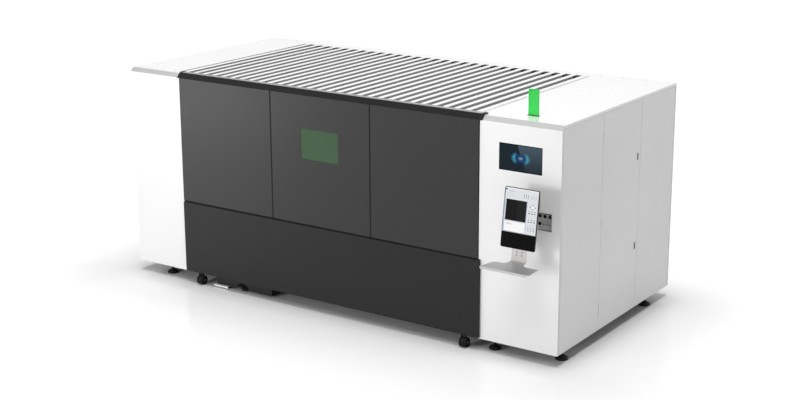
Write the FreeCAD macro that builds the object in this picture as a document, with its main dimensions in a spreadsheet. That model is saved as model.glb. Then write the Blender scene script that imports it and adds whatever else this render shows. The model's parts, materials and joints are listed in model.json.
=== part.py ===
import FreeCAD, Part
import math
import os
import re
import Sketcher

# Enclosed flat-bed fiber laser cutting machine with a pull-out knife-slat table.
# Millimetres. X runs along the housing to the right, Y from the operator to the back, Z up
# from the floor. The origin is on the floor, under the middle of the whole machine.

sizes = [
    # housing
    ("bodyLength", 5000),
    ("bodyDepth", 2320),
    ("panelHeight", 2020),
    ("chamferDepth", 38),
    ("chamferHeight", 40),
    ("groundClearance", 106),
    ("sheet", 3),
    ("seam", 4),
    ("panDepth", 25),
    ("sideDepth", 20),
    ("leftBay", 670),
    ("rightBay", 812),
    # dark front
    ("panelProud", 12),
    ("panelBottom", 862),
    ("sealWidth", 5),
    ("headerInset", 15),
    ("headerOverlap", 20),
    ("headerRise", 10),
    ("headerSeat", 0.3),
    ("headerBack", 98),
    ("windowWidth", 439),
    ("windowHeight", 293),
    ("windowBottom", 1510),
    ("windowLap", 10),
    ("paneThickness", 5),
    # roof
    ("leftRoof", 585),
    ("rightRoof", 848),
    ("rearRoof", 175),
    ("ribCount", 30),
    ("ribTop", 54),
    ("ribSlope", 6),
    ("ribHeight", 24),
    # frame
    ("frameGap", 4),
    ("sillSize", 100),
    ("postSize", 80),
    ("roofTube", 60),
    ("mullionDepth", 50),
    ("doorPost", 50),
    ("beamWidth", 120),
    ("beamHeight", 200),
    ("beamBottom", 880),
    ("rearBeamGap", 170),
    ("railWidth", 24),
    ("railHeight", 30),
    ("railInset", 68),
    ("rackInset", 96),
    ("rackWidth", 22),
    # side door
    ("doorStart", 780),
    ("doorWidth", 771),
    ("doorGap", 0.3),
    ("hingePinLength", 100),
    ("latchWidth", 20),
    ("latchHeight", 62),
    ("latchInset", 54),
    ("latchUpper", 1601),
    ("latchLower", 732),
    ("latchRim", 3),
    ("latchClear", 0.6),
    # feet and plinth
    ("footRadius", 57.5),
    ("footStem", 12),
    ("footLeft", 370),
    ("footRight", 690),
    ("footFront", 105),
    ("footSide", 215),
    ("footRear", 400),
    ("plinthStart", 1040),
    ("plinthLength", 724),
    ("plinthFront", 33),
    ("plinthDepth", 139),
    ("plinthBottom", 20),
    ("plinthArch", 85),
    ("plinthFoot", 1384),
    ("stripLength", 190),
    ("stripHeight", 16),
    # pull-out table
    ("skirtProud", 28),
    ("skirtGap", 1),
    ("skirtBottom", 118),
    ("skirtTop", 848),
    ("skirtBevel", 10),
    ("skirtInset", 13),
    ("skirtOverlap", 20),
    ("tableTop", 800),
    ("tableBackGap", 95),
    ("tableClear", 10),
    ("tableTube", 80),
    ("tableTubeHeight", 140),
    ("sideTube", 60),
    ("combHeight", 60),
    ("combThickness", 6),
    ("slatThickness", 4),
    ("slatHeight", 95),
    ("slatSeat", 5),
    ("slatClear", 0.3),
    ("slatPitch", 100),
    ("toothPitch", 125),
    ("toothDepth", 30),
    ("trayDrop", 300),
    ("trayFloor", 600),
    ("railWide", 40),
    ("drawerRailHeight", 40),
    ("runnerLength", 120),
    ("runnerGap", 0.3),
    ("wheelRadius", 48),
    ("wheelWidth", 32),
    ("wheelAxle", 6),
    ("cheekGap", 2),
    ("boreClear", 0.6),
    ("casterLeft", 192),
    ("casterRight", 123),
    ("forkPlate", 6),
    ("legWidth", 60),
    # gantry
    ("gantryPark", 695),
    ("gantryWidth", 240),
    ("gantryHeight", 260),
    ("carriageHeight", 70),
    ("carriageFront", 145),
    ("carriageRear", 260),
    ("slideGap", 0.3),
    ("pinionRadius", 20),
    ("motorSize", 90),
    ("headPark", 215),
    ("headWidth", 90),
    ("headPlate", 30),
    ("zPlate", 25),
    ("nozzleTip", 890),
    ("nozzleRadius", 12),
    ("nozzleHeight", 15),
    # right-hand front
    ("displayInset", 615),
    ("displayWidth", 428),
    ("displayBottom", 1712),
    ("displayHeight", 242),
    ("plateInset", 216),
    ("plateWidth", 134),
    ("plateBottom", 1229),
    ("plateHeight", 156),
    ("plateMargin", 18),
    ("buttonRadius", 12),
    ("buttonTravel", 4),
    ("buttonClear", 0.5),
    ("lampRadius", 6),
    ("beaconInset", 464),
    ("beaconWidth", 98),
    ("beaconDepth", 20),
    ("beaconHeight", 228),
    ("beaconFront", 230),
    # console
    ("consoleInset", 260),
    ("consoleLean", 8.3),
    ("bendFront", 252),
    ("bendHeight", 996),
    ("bracketWidth", 150),
    ("bracketHeight", 520),
    ("trayReach", 482),
    ("traySlope", 5),
    ("trayRear", 332),
    ("trayLeft", 251),
    ("trayRight", 231),
    ("trayBackLeft", 214),
    ("trayBackRight", 240),
    ("trayCorner", 52),
    ("trayTip", 8),
    ("trayFlare", 52),
    ("trayLip", 22),
    ("lipShort", 32),
    ("monitorWidth", 338),
    ("monitorHeight", 523),
    ("monitorDepth", 45),
    ("monitorUp", 117),
    ("screenHeight", 380),
    ("bezel", 7),
    ("armRise", 15),
    ("armWidth", 60),
    ("armKnuckle", 22),
    ("armPin", 8),
    ("pivotFront", 62),
    # back
    ("spigotReach", 60),
    ("spigotRadius", 80),
    ("spigotHeight", 500),
    ("slotLength", 320),
    ("slotWidth", 12),
    ("slotPitch", 36),
    ("slotBottom", 420),
    ("inletRadius", 11),
    ("inletPitch", 90),
    ("inletHeight", 340),
    # right-hand bay
    ("laserDepth", 350),
    ("laserHeight", 300),
    ("laserInset", 50),
    ("cabinetDepth", 230),
    ("cabinetHeight", 1690),
]

places = {
    "left": "-bodyLength/2",
    "right": "bodyLength/2",
    "face": "-(bodyDepth + spigotReach - trayReach)/2",
    "back": "face + bodyDepth",
    "shoulder": "groundClearance + panelHeight",
    "roofLevel": "shoulder + chamferHeight",
    "frameTop": "roofLevel - ribHeight - sheet",
    "innerFront": "face + panDepth",
    "innerBack": "back - panDepth",
    "innerLeft": "left + sideDepth",
    "innerRight": "right - sideDepth",
    "bayLeft": "left + leftBay",
    "bayRight": "right - rightBay",
    "chamferWall": "sheet*sqrt(1 + (chamferHeight/chamferDepth)^2)",
    "panelWidth": "(bayRight - bayLeft - 2*sealWidth - 2*seam)/3",
    "panelStart": "bayLeft + sealWidth",
    "frameBottom": "groundClearance + frameGap",
    "sillTop": "frameBottom + sillSize",
    "beamTop": "beamBottom + beamHeight",
    "rearBeam": "innerBack - postSize - rearBeamGap - beamWidth",
    "tubeBottom": "frameTop - roofTube",
    "doorFront": "face + doorStart",
    "doorBack": "doorFront + doorWidth",
    "slatBottom": "tableTop - slatHeight",
    "tubeTop": "slatBottom - slatSeat",
    "tableLeft": "bayLeft + 2*tableClear + sheet",
    "tableRight": "bayRight - tableClear",
    "tableFront": "face - skirtProud + sheet",
    "tableBack": "rearBeam - tableBackGap",
    "sideLeft": "bayLeft + 5*tableClear",
    "sideRight": "bayRight - 5*tableClear",
    "railTop": "sillTop + drawerRailHeight",
    "runnerTop": "railTop + runnerGap + drawerRailHeight",
    "slatStart": "sideLeft + sideTube + slatPitch",
    "slatCount": "floor((sideRight - sideLeft - 2*sideTube - slatThickness)/slatPitch)",
    "caster": "face - skirtProud/2",
    "gantry": "left + gantryPark",
    "railLine": "innerFront + railInset",
    "rearRailLine": "rearBeam + beamWidth - railInset - railWidth",
    "carriageBottom": "beamTop + railHeight + slideGap",
    "gantryBottom": "carriageBottom + carriageHeight",
    "gantryTop": "gantryBottom + gantryHeight",
    "gantryFront": "railLine - slideGap - seam",
    "gantryBack": "rearRailLine + railWidth + slideGap + seam",
    "headPlane": "gantry + gantryWidth/2",
    "slidePlane": "headPlane + headPlate + slideGap",
    "headX": "slidePlane + zPlate + headWidth/2",
    "headY": "face + headPark",
    "console": "right - consoleInset",
    "plateLeft": "right - plateInset",
    "displayLeft": "right - displayInset",
    "beaconLeft": "right - beaconInset",
    "armHeight": "plateBottom + plateHeight + armRise + armWidth",
    "skirtLeft": "bayLeft + skirtInset",
    "skirtRight": "bayRight + skirtOverlap",
}

document = FreeCAD.newDocument("LaserCutter")
sheetOfSizes = document.addObject("Spreadsheet::Sheet", "Sizes")
for row, (name, amount) in enumerate(sizes, 1):
    sheetOfSizes.set("A%d" % row, name)
    sheetOfSizes.set("B%d" % row, str(amount))
    sheetOfSizes.setAlias("B%d" % row, name)
document.recompute()

names = {name for name, amount in sizes}
pieces = []


def cells(text):
    """The text with each name turned into its cell, or into the place that it stands for."""
    def swap(match):
        word = match.group(0)
        if word in places:
            return "(" + cells(places[word]) + ")"
        return "Sizes." + word if word in names else word
    return re.sub(r"[A-Za-z_]\w*", swap, str(text))


def number(text):
    return float(sheetOfSizes.evalExpression(cells(text)))


def bind(item, key, text):
    item.setExpression(key, cells(text))


def locate(item, x, y, z):
    for axis, text in zip("xyz", (x, y, z)):
        bind(item, "Placement.Base." + axis, text)


def piece(item, label):
    """Marks a finished sub-part; its label names its file."""
    item.Label = label
    pieces.append(item)
    return item


# --- plain stock: bars, plates, rods -----------------------------------------------------------

def block(x, y, z):
    """A bar or plate between two limits on each axis."""
    item = document.addObject("Part::Box", "block")
    bind(item, "Length", "(%s) - (%s)" % (x[1], x[0]))
    bind(item, "Width", "(%s) - (%s)" % (y[1], y[0]))
    bind(item, "Height", "(%s) - (%s)" % (z[1], z[0]))
    locate(item, x[0], y[0], z[0])
    return item


directions = {
    "x": FreeCAD.Rotation(FreeCAD.Vector(0, 1, 0), 90),
    "y": FreeCAD.Rotation(FreeCAD.Vector(1, 0, 0), -90),
    "z": FreeCAD.Rotation(),
}


def rod(start, radius, length, along="z"):
    """A round bar from its start point along an axis."""
    item = document.addObject("Part::Cylinder", "rod")
    item.Placement = FreeCAD.Placement(FreeCAD.Vector(), directions[along])
    bind(item, "Radius", radius)
    bind(item, "Height", length)
    locate(item, *start)
    return item


def nut(start, radius, length, along="z", sides=6):
    """A hexagon bar, or with many sides a small round one."""
    item = document.addObject("Part::Prism", "nut")
    item.Placement = FreeCAD.Placement(FreeCAD.Vector(), directions[along])
    item.Polygon = sides
    bind(item, "Circumradius", radius)
    bind(item, "Height", length)
    locate(item, *start)
    return item


def smallRound(start, radius, length, along="z"):
    return nut(start, radius, length, along, 20)


def fused(*parts):
    item = document.addObject("Part::MultiFuse", "fused")
    item.Shapes = list(parts)
    item.Refine = True
    return item


def together(*parts):
    """Like pieces that stay separate solids under one name."""
    item = document.addObject("Part::Compound", "together")
    item.Links = list(parts)
    return item


def without(base, *tools):
    item = document.addObject("Part::Cut", "cut")
    item.Base = base
    item.Tool = tools[0] if len(tools) == 1 else together(*tools)
    item.Refine = True
    return item


# --- folded sheet ------------------------------------------------------------------------------

def outlineOn(body, plane, corners):
    """A closed outline on one of the body's own planes, each corner held by two dimensions."""
    planes = {feature.Role: feature for feature in body.Origin.OriginFeatures}
    sketch = body.newObject("Sketcher::SketchObject", "outline")
    sketch.AttachmentSupport = [(planes[plane], "")]
    sketch.MapMode = "FlatFace"
    points = [FreeCAD.Vector(number(a), number(b), 0) for a, b in corners]
    count = len(points)
    for i in range(count):
        sketch.addGeometry(Part.LineSegment(points[i], points[(i + 1) % count]))
    for i in range(count):
        sketch.addConstraint(Sketcher.Constraint("Coincident", i, 2, (i + 1) % count, 1))
    for i, corner in enumerate(corners):
        for kind, text, start in zip(("DistanceX", "DistanceY"), corner, points[i]):
            held = sketch.addConstraint(Sketcher.Constraint(kind, -1, 1, i, 1, start))
            bind(sketch, "Constraints[%d]" % held, text)
    return sketch


def prism(plane, corners, start, length):
    """A pad of the outline: YZ_Plane runs along X, XZ_Plane along Y, XY_Plane along Z."""
    body = document.addObject("PartDesign::Body", "prism")
    sketch = outlineOn(body, plane, corners)
    pad = body.newObject("PartDesign::Pad", "pad")
    pad.Profile = sketch
    pad.Reversed = plane == "XZ_Plane"
    bind(pad, "Length", length)
    axis = {"YZ_Plane": "x", "XZ_Plane": "y", "XY_Plane": "z"}[plane]
    bind(body, "Placement.Base." + axis, start)
    return body


def turned(corners, x, y, z, along="z"):
    """A revolved piece: corners are radius and height along its axis."""
    body = document.addObject("PartDesign::Body", "turned")
    sketch = outlineOn(body, "XZ_Plane", corners)
    spin = body.newObject("PartDesign::Revolution", "revolution")
    spin.Profile = sketch
    spin.ReferenceAxis = (sketch, ["V_Axis"])
    spin.Angle = 360
    body.Placement = FreeCAD.Placement(FreeCAD.Vector(), directions[along])
    locate(body, x, y, z)
    return body


def inward(limits, wall="sheet"):
    return ("(%s) + %s" % (limits[0], wall), "(%s) - %s" % (limits[1], wall))


def outward(limits, wall="sheet"):
    return ("(%s) - %s" % (limits[0], wall), "(%s) + %s" % (limits[1], wall))


def pan(x, y, z, open):
    """A folded panel: a flat sheet with four returns, open on the side named."""
    body = document.addObject("PartDesign::Body", "pan")
    blank = body.newObject("PartDesign::AdditiveBox", "blank")
    for key, limits in zip(("Length", "Width", "Height"), (x, y, z)):
        bind(blank, key, "(%s) - (%s)" % (limits[1], limits[0]))
    document.recompute([blank])
    heading = {"+x": (1, 0, 0), "-x": (-1, 0, 0), "+y": (0, 1, 0), "-y": (0, -1, 0), "-z": (0, 0, -1)}
    mouth = [i for i, face in enumerate(blank.Shape.Faces, 1)
             if face.normalAt(0, 0).isEqual(FreeCAD.Vector(heading[open]), 1e-6)]
    shell = body.newObject("PartDesign::Thickness", "shell")
    shell.Base = (blank, ["Face%d" % mouth[0]])
    shell.Join = 1
    shell.Reversed = True
    bind(shell, "Value", "sheet")
    body.Tip = shell
    locate(body, x[0], y[0], z[0])
    return body


# --- frame -------------------------------------------------------------------------------------

def baseFrame():
    span = ("innerFront + sillSize", "innerBack - sillSize")
    height = ("frameBottom", "sillTop")
    sills = [block(("innerLeft", "innerRight"), ("innerFront", "innerFront + sillSize"), height),
             block(("innerLeft", "innerRight"), ("innerBack - sillSize", "innerBack"), height)]
    crossings = ["innerLeft", "bayLeft - postSize",
                 "bayLeft + (bayRight - bayLeft)*0.3", "bayLeft + (bayRight - bayLeft)*0.5",
                 "bayLeft + (bayRight - bayLeft)*0.7", "bayRight", "innerRight - sillSize"]
    for start in crossings:
        sills.append(block((start, start + " + sillSize"), span, height))
    floor = block(("bayRight + postSize", "innerRight - postSize"), span,
                  ("sillTop", "sillTop + sheet"))
    return piece(together(*sills, floor), "base_frame")


def seamLine(index):
    """The middle of the joint between two of the three front panels."""
    return "panelStart + %d*(panelWidth + seam) - seam/2" % index


def upperFrame():
    front = ("innerFront", "innerFront + postSize")
    rear = ("innerBack - postSize", "innerBack")
    full = ("sillTop", "frameTop")
    leftPost = ("innerLeft", "innerLeft + postSize")
    rightPost = ("innerRight - postSize", "innerRight")
    partition = ("bayRight", "bayRight + postSize")
    besideBay = ("bayLeft - postSize", "bayLeft")
    members = [block(x, y, full) for x in (leftPost, partition, rightPost) for y in (front, rear)]
    for index in (1, 2):
        line = seamLine(index)
        wide = ("%s - postSize/2" % line, "%s + postSize/2" % line)
        members.append(block(wide, rear, ("sillTop", "tubeBottom")))
        narrow = ("%s - roofTube/2" % line, "%s + roofTube/2" % line)
        members.append(block(narrow, ("innerFront", "innerFront + mullionDepth"),
                             ("beamTop", "tubeBottom")))
    under = ("sillTop", "beamBottom")
    underRear = ("rearBeam", "rearBeam + postSize")
    members.append(block(besideBay, front, under))
    for x in (leftPost, besideBay, partition):
        members.append(block(x, underRear, under))
    tube = ("tubeBottom", "frameTop")
    alongLeft = ("innerLeft + postSize", "bayRight")
    alongRight = ("bayRight + postSize", "innerRight - postSize")
    for x in (alongLeft, alongRight):
        members.append(block(x, ("innerFront", "innerFront + roofTube"), tube))
        members.append(block(x, ("innerBack - roofTube", "innerBack"), tube))
    across = ("innerFront + postSize", "innerBack - postSize")
    members.append(block(("innerLeft", "innerLeft + roofTube"), across, tube))
    members.append(block(("innerRight - roofTube", "innerRight"), across, tube))
    between = ("innerFront + roofTube", "innerBack - roofTube")
    for line in ("left + leftRoof", "right - rightRoof"):
        members.append(block((line + " - roofTube/2", line + " + roofTube/2"), between, tube))
    middle = "(face + back)/2"
    members.append(block(("left + leftRoof + roofTube/2", "right - rightRoof - roofTube/2"),
                         (middle + " - roofTube/2", middle + " + roofTube/2"), tube))
    for x in (("innerLeft", "innerLeft + doorPost"), ("innerRight - doorPost", "innerRight")):
        for y in (("doorFront - 2*panDepth", "doorFront"), ("doorBack", "doorBack + 2*panDepth")):
            members.append(block(x, y, ("sillTop", "tubeBottom")))
    return piece(together(*members), "upper_frame")


def railBeams():
    height = ("beamBottom", "beamTop")
    front = block(("innerLeft + postSize", "bayRight"),
                  ("innerFront", "innerFront + beamWidth"), height)
    rear = block(("innerLeft", "bayRight + postSize"),
                 ("rearBeam", "rearBeam + beamWidth"), height)
    return piece(together(front, rear), "rail_beams")


def guideRails():
    """A ground guide rail and a gear rack on top of each rail beam."""
    along = ("innerLeft + postSize", "bayRight")
    height = ("beamTop", "beamTop + railHeight")
    rearRack = "rearBeam + beamWidth - rackInset - rackWidth"
    lines = [("railLine", "railWidth"), ("innerFront + rackInset", "rackWidth"),
             ("rearRailLine", "railWidth"), (rearRack, "rackWidth")]
    bars = [block(along, (start, "%s + %s" % (start, width)), height) for start, width in lines]
    return piece(together(*bars), "guide_rails")


# --- white covers ------------------------------------------------------------------------------

def frontCover(start, end):
    """A folded cover: front, top chamfer and four returns, in one piece of sheet."""
    outer = [("face", "groundClearance"), ("innerFront", "groundClearance"),
             ("innerFront", "frameTop"), ("face + chamferDepth", "frameTop"),
             ("face + chamferDepth", "roofLevel"), ("face", "shoulder")]
    rise = "chamferHeight/chamferDepth"
    inner = [("face + sheet", "groundClearance + sheet"),
             ("innerFront + sheet", "groundClearance + sheet"),
             ("innerFront + sheet", "frameTop - sheet"),
             ("face + chamferDepth + sheet", "frameTop - sheet"),
             ("face + chamferDepth + sheet", "roofLevel + sheet*%s - chamferWall" % rise),
             ("face + sheet", "shoulder + sheet*%s - chamferWall" % rise)]
    width = "(%s) - (%s)" % (end, start)
    return without(prism("YZ_Plane", outer, start, width),
                   prism("YZ_Plane", inner, start + " + sheet", width + " - 2*sheet"))


def whiteCovers():
    piece(frontCover("left", "bayLeft"), "left_front_cover")
    displayHole = block(("displayLeft", "displayLeft + displayWidth"),
                        ("face - sheet", "innerFront"),
                        ("displayBottom", "displayBottom + displayHeight"))
    buttonHole = block(("plateLeft + plateMargin/3", "plateLeft + plateWidth - plateMargin/3"),
                       ("face - sheet", "innerFront"),
                       ("plateBottom + plateMargin/3", "plateBottom + plateHeight - plateMargin/3"))
    piece(without(frontCover("bayRight", "right"), displayHole, buttonHole), "right_front_cover")


def sidePanel(side, y):
    x = ("right - sideDepth", "right") if side == "right" else ("left", "innerLeft")
    return pan(x, y, ("groundClearance", "frameTop - seam/2"), "-x" if side == "right" else "+x")


def sidePanels():
    front = ("innerFront + seam", "doorFront - seam")
    middle = ("doorFront", "doorBack")
    rear = ("doorBack + seam", "innerBack - seam")
    piece(sidePanel("right", front), "right_side_front_panel")
    piece(sidePanel("right", rear), "right_side_rear_panel")
    piece(together(*[sidePanel("left", y) for y in (front, middle, rear)]), "left_side_panels")


def rearCovers():
    """Five folded panels; the outer two have cooling slots, two of the others a duct hole."""
    joints = ["left", "bayLeft", seamLine(1), seamLine(2), "bayRight", "right"]
    height = ("groundClearance", "frameTop - seam/2")
    covers = []
    for index in range(5):
        start = joints[index] + ("" if index == 0 else " + seam/2")
        end = joints[index + 1] + ("" if index == 4 else " - seam/2")
        cover = pan((start, end), ("innerBack", "back"), height, "-y")
        if index in (0, 4):
            middle = "((%s) + (%s))/2" % (start, end)
            slots = [block((middle + " - slotLength/2", middle + " + slotLength/2"),
                           ("innerBack", "back + sheet"),
                           ("slotBottom + %d*slotPitch" % i, "slotBottom + %d*slotPitch + slotWidth" % i))
                     for i in range(6)]
            cover = without(cover, *slots)
        if index in (1, 3):
            cover = without(cover, rod((spigotX(index), "innerBack", "spigotHeight"),
                                       "spigotRadius - sheet", "2*panDepth", "y"))
        covers.append(cover)
    return piece(together(*covers), "rear_covers")


def spigotX(index):
    return "(%s) %s panelWidth/2" % (seamLine(1 if index == 1 else 2), "-" if index == 1 else "+")


def extractionSpigots():
    """Two short tubes that the fume ducts push over."""
    rings = []
    for index in (1, 3):
        start = (spigotX(index), "back", "spigotHeight")
        tube = rod(start, "spigotRadius", "spigotReach", "y")
        bore = rod((start[0], "back - sheet", start[2]), "spigotRadius - sheet",
                   "spigotReach + 2*sheet", "y")
        rings.append(without(tube, bore))
    return piece(together(*rings), "extraction_spigots")


def rearInlets():
    """A cable gland and two gas fittings on the right rear cover."""
    fittings = []
    for index, radius in enumerate(("inletRadius*1.5", "inletRadius", "inletRadius")):
        x = "right - rightBay/2 + %d*inletPitch" % (index - 1)
        flats = nut((x, "back", "inletHeight"), radius + "*1.4", "3*sheet", "y")
        neck = smallRound((x, "back + 3*sheet", "inletHeight"), radius, "5*sheet", "y")
        fittings.append(fused(flats, neck))
    return piece(together(*fittings), "rear_inlets")


# --- roof --------------------------------------------------------------------------------------

def roofPlates():
    height = ("frameTop", "roofLevel")
    deep = ("face + chamferDepth", "back")
    joint = "left + leftRoof"
    leftPlate = pan(("left", joint), deep, height, "-z")
    tab = block((joint, "bayLeft - headerInset"), ("face + chamferDepth", "face + headerBack"),
                ("roofLevel - sheet", "roofLevel"))
    rightPlate = pan(("right - rightRoof", "right"), deep, height, "-z")
    rearPlate = pan((joint, "right - rightRoof"), ("back - rearRoof", "back"), height, "-z")
    return piece(together(fused(leftPlate, tab), rightPlate, rearPlate), "roof_plates")


def ribbedRoof():
    """One folded sheet: flat-topped ridges that run from front to back."""
    pitch = "(bodyLength - leftRoof - rightRoof)/ribCount"
    valley = "(%s - ribTop - 2*ribSlope)/2" % pitch
    low = "frameTop"
    outline = [("0", low), (valley + " + sheet", low),
               (valley + " + ribSlope + sheet", "roofLevel - sheet"),
               (valley + " + ribSlope + ribTop - sheet", "roofLevel - sheet"),
               (valley + " + 2*ribSlope + ribTop - sheet", low),
               (pitch, low), (pitch, low + " + sheet"),
               (valley + " + 2*ribSlope + ribTop", low + " + sheet"),
               (valley + " + ribSlope + ribTop", "roofLevel"),
               (valley + " + ribSlope", "roofLevel"),
               (valley, low + " + sheet"), ("0", low + " + sheet")]
    length = "bodyDepth - headerBack - rearRoof"
    body = prism("XZ_Plane", outline, "face + headerBack", length)
    bind(body, "Placement.Base.x", "left + leftRoof")
    ridge = body.Tip
    row = body.newObject("PartDesign::LinearPattern", "ridges")
    row.Originals = [ridge]
    row.Direction = (ridge.Profile[0], ["H_Axis"])
    bind(row, "Length", "(%s)*(ribCount - 1)" % pitch)
    bind(row, "Occurrences", "ribCount")
    body.Tip = row
    return piece(body, "ribbed_roof")


# --- dark front --------------------------------------------------------------------------------

def frontPanels():
    height = ("panelBottom", "shoulder")
    depth = ("face - panelProud", "innerFront")
    for index, label in enumerate(("left", "middle", "right")):
        start = "panelStart + %d*(panelWidth + seam)" % index
        panel = pan((start, start + " + panelWidth"), depth, height, "+y")
        if label == "middle":
            middle = start + " + panelWidth/2"
            opening = block((middle + " - windowWidth/2", middle + " + windowWidth/2"),
                            ("face - 2*panelProud", "innerFront"),
                            ("windowBottom", "windowBottom + windowHeight"))
            panel = without(panel, opening)
            pane = block((middle + " - windowWidth/2 - windowLap",
                          middle + " + windowWidth/2 + windowLap"),
                         ("face - panelProud + sheet", "face - panelProud + sheet + paneThickness"),
                         ("windowBottom - windowLap", "windowBottom + windowHeight + windowLap"))
            piece(pane, "window_pane")
        piece(panel, "front_panel_" + label)


def header():
    """The folded head rail over the dark panels: chamfer and top flange."""
    reach = "(chamferHeight + headerRise)*chamferDepth/chamferHeight"
    outline = [("face - panelProud", "shoulder + headerSeat"),
               ("face", "shoulder + headerSeat"),
               ("face + chamferDepth", "roofLevel + headerSeat"),
               ("face + headerBack", "roofLevel + headerSeat"),
               ("face + headerBack", "roofLevel + headerRise"),
               ("face - panelProud + " + reach, "roofLevel + headerRise")]
    start = "bayLeft - headerInset"
    return piece(prism("YZ_Plane", outline, start, "bayRight + headerOverlap - (%s)" % start),
                 "front_header")


def frontSeals():
    """Rubber strips beside and below the dark panels."""
    depth = ("face + sheet", "innerFront")
    height = ("panelBottom - 2*sealWidth", "shoulder")
    strips = [block(("bayLeft", "panelStart"), depth, height),
              block(("bayRight - sealWidth", "bayRight"), depth, height),
              block(("panelStart", "bayRight - sealWidth"), depth,
                    ("panelBottom - 2*sealWidth", "panelBottom"))]
    return piece(together(*strips), "front_seals")


# --- feet, plinth ------------------------------------------------------------------------------

def levellingFeet():
    front, rear = "face + footFront", "innerBack - sillSize/2"
    spots = [("left + footLeft", front), ("left + plinthFoot", front),
             ("right - footRight", front),
             ("innerRight - sillSize/2", "face + footSide"),
             ("innerRight - sillSize/2", "back - footRear"),
             ("innerLeft + sillSize/2", "back - footRear"),
             ("left + plinthFoot", rear), ("right - 2*footRight", rear)]
    feet = []
    for x, y in spots:
        pad = smallRound((x, y, "0"), "footRadius", "2*footStem")
        feet.append(fused(pad, nut((x, y, "2*footStem"), "footStem", "frameBottom - 2*footStem")))
    return piece(together(*feet), "levelling_feet")


def frontPlinth():
    """A low box under the front sill, with an arch round the foot that stands in it."""
    x = ("left + plinthStart", "left + plinthStart + plinthLength")
    y = ("face + plinthFront", "face + plinthFront + plinthDepth")
    box = pan(x, y, ("plinthBottom", "frameBottom"), "-z")
    footX = "left + plinthFoot"
    arch = rod((footX, "face + plinthFront - sheet", "0"), "plinthArch", "3*sheet", "y")
    stemHole = rod((footX, "face + footFront", "plinthBottom"), "2*footStem", "sillSize")
    piece(without(box, arch, stemHole), "front_plinth")
    strip = block((x[0] + " - stripHeight/2", x[0] + " - stripHeight/2 + stripLength"),
                  ("face", "face + plinthFront"),
                  ("plinthBottom + seam - stripHeight", "plinthBottom + seam"))
    piece(strip, "plinth_strip")


# --- pull-out table ----------------------------------------------------------------------------

def drawerFront():
    """The dark skirt: a folded panel with a sloped top edge."""
    outer = [("face - skirtProud", "skirtBottom"), ("face - skirtGap", "skirtBottom"),
             ("face - skirtGap", "skirtTop + skirtBevel"), ("face - skirtProud", "skirtTop")]
    inner = [("face - skirtProud + sheet", "skirtBottom + sheet"),
             ("face + sheet", "skirtBottom + sheet"),
             ("face + sheet", "skirtTop + skirtBevel - sheet"),
             ("face - skirtProud + sheet", "skirtTop - sheet")]
    shell = without(prism("YZ_Plane", outer, "skirtLeft", "skirtRight - skirtLeft"),
                    prism("YZ_Plane", inner, "skirtLeft + sheet", "skirtRight - skirtLeft - 2*sheet"))
    return piece(shell, "drawer_front")


def tableFrame():
    """The welded table: two long beams, two deep side beams, cross tubes, legs and runners."""
    beam = ("tubeTop - tableTubeHeight", "tubeTop")
    members = [block(("tableLeft", "tableRight"), ("tableFront", "tableFront + tableTube"), beam),
               block(("tableLeft", "tableRight"), ("tableBack - tableTube", "tableBack"), beam)]
    between = ("tableFront + tableTube", "tableBack - tableTube")
    sideHeight = ("runnerTop", "tubeTop")
    members.append(block(("sideLeft", "sideLeft + sideTube"), between, sideHeight))
    members.append(block(("sideRight - sideTube", "sideRight"), between, sideHeight))
    inside = ("sideLeft + sideTube", "sideRight - sideTube")
    for share in ("0.33", "0.67"):
        start = "tableFront + (tableBack - tableFront)*" + share
        members.append(block(inside, (start, start + " + sideTube"), ("tubeTop - sideTube", "tubeTop")))
    runner = ("tableBack - tableTube - runnerLength", "tableBack - tableTube")
    for x in (("sideLeft", "sideLeft + sideTube"), ("sideRight - sideTube", "sideRight")):
        members.append(block(x, runner, ("railTop + runnerGap", "runnerTop")))
    for middle in casterLines():
        members.append(block((middle + " - legWidth/2", middle + " + legWidth/2"),
                             ("tableFront", "face - skirtGap"),
                             ("skirtBottom + sheet", "tubeTop - tableTubeHeight")))
    return piece(together(*members), "table_frame")


def casterLines():
    return ("tableLeft + casterLeft", "tableRight - casterRight")


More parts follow.
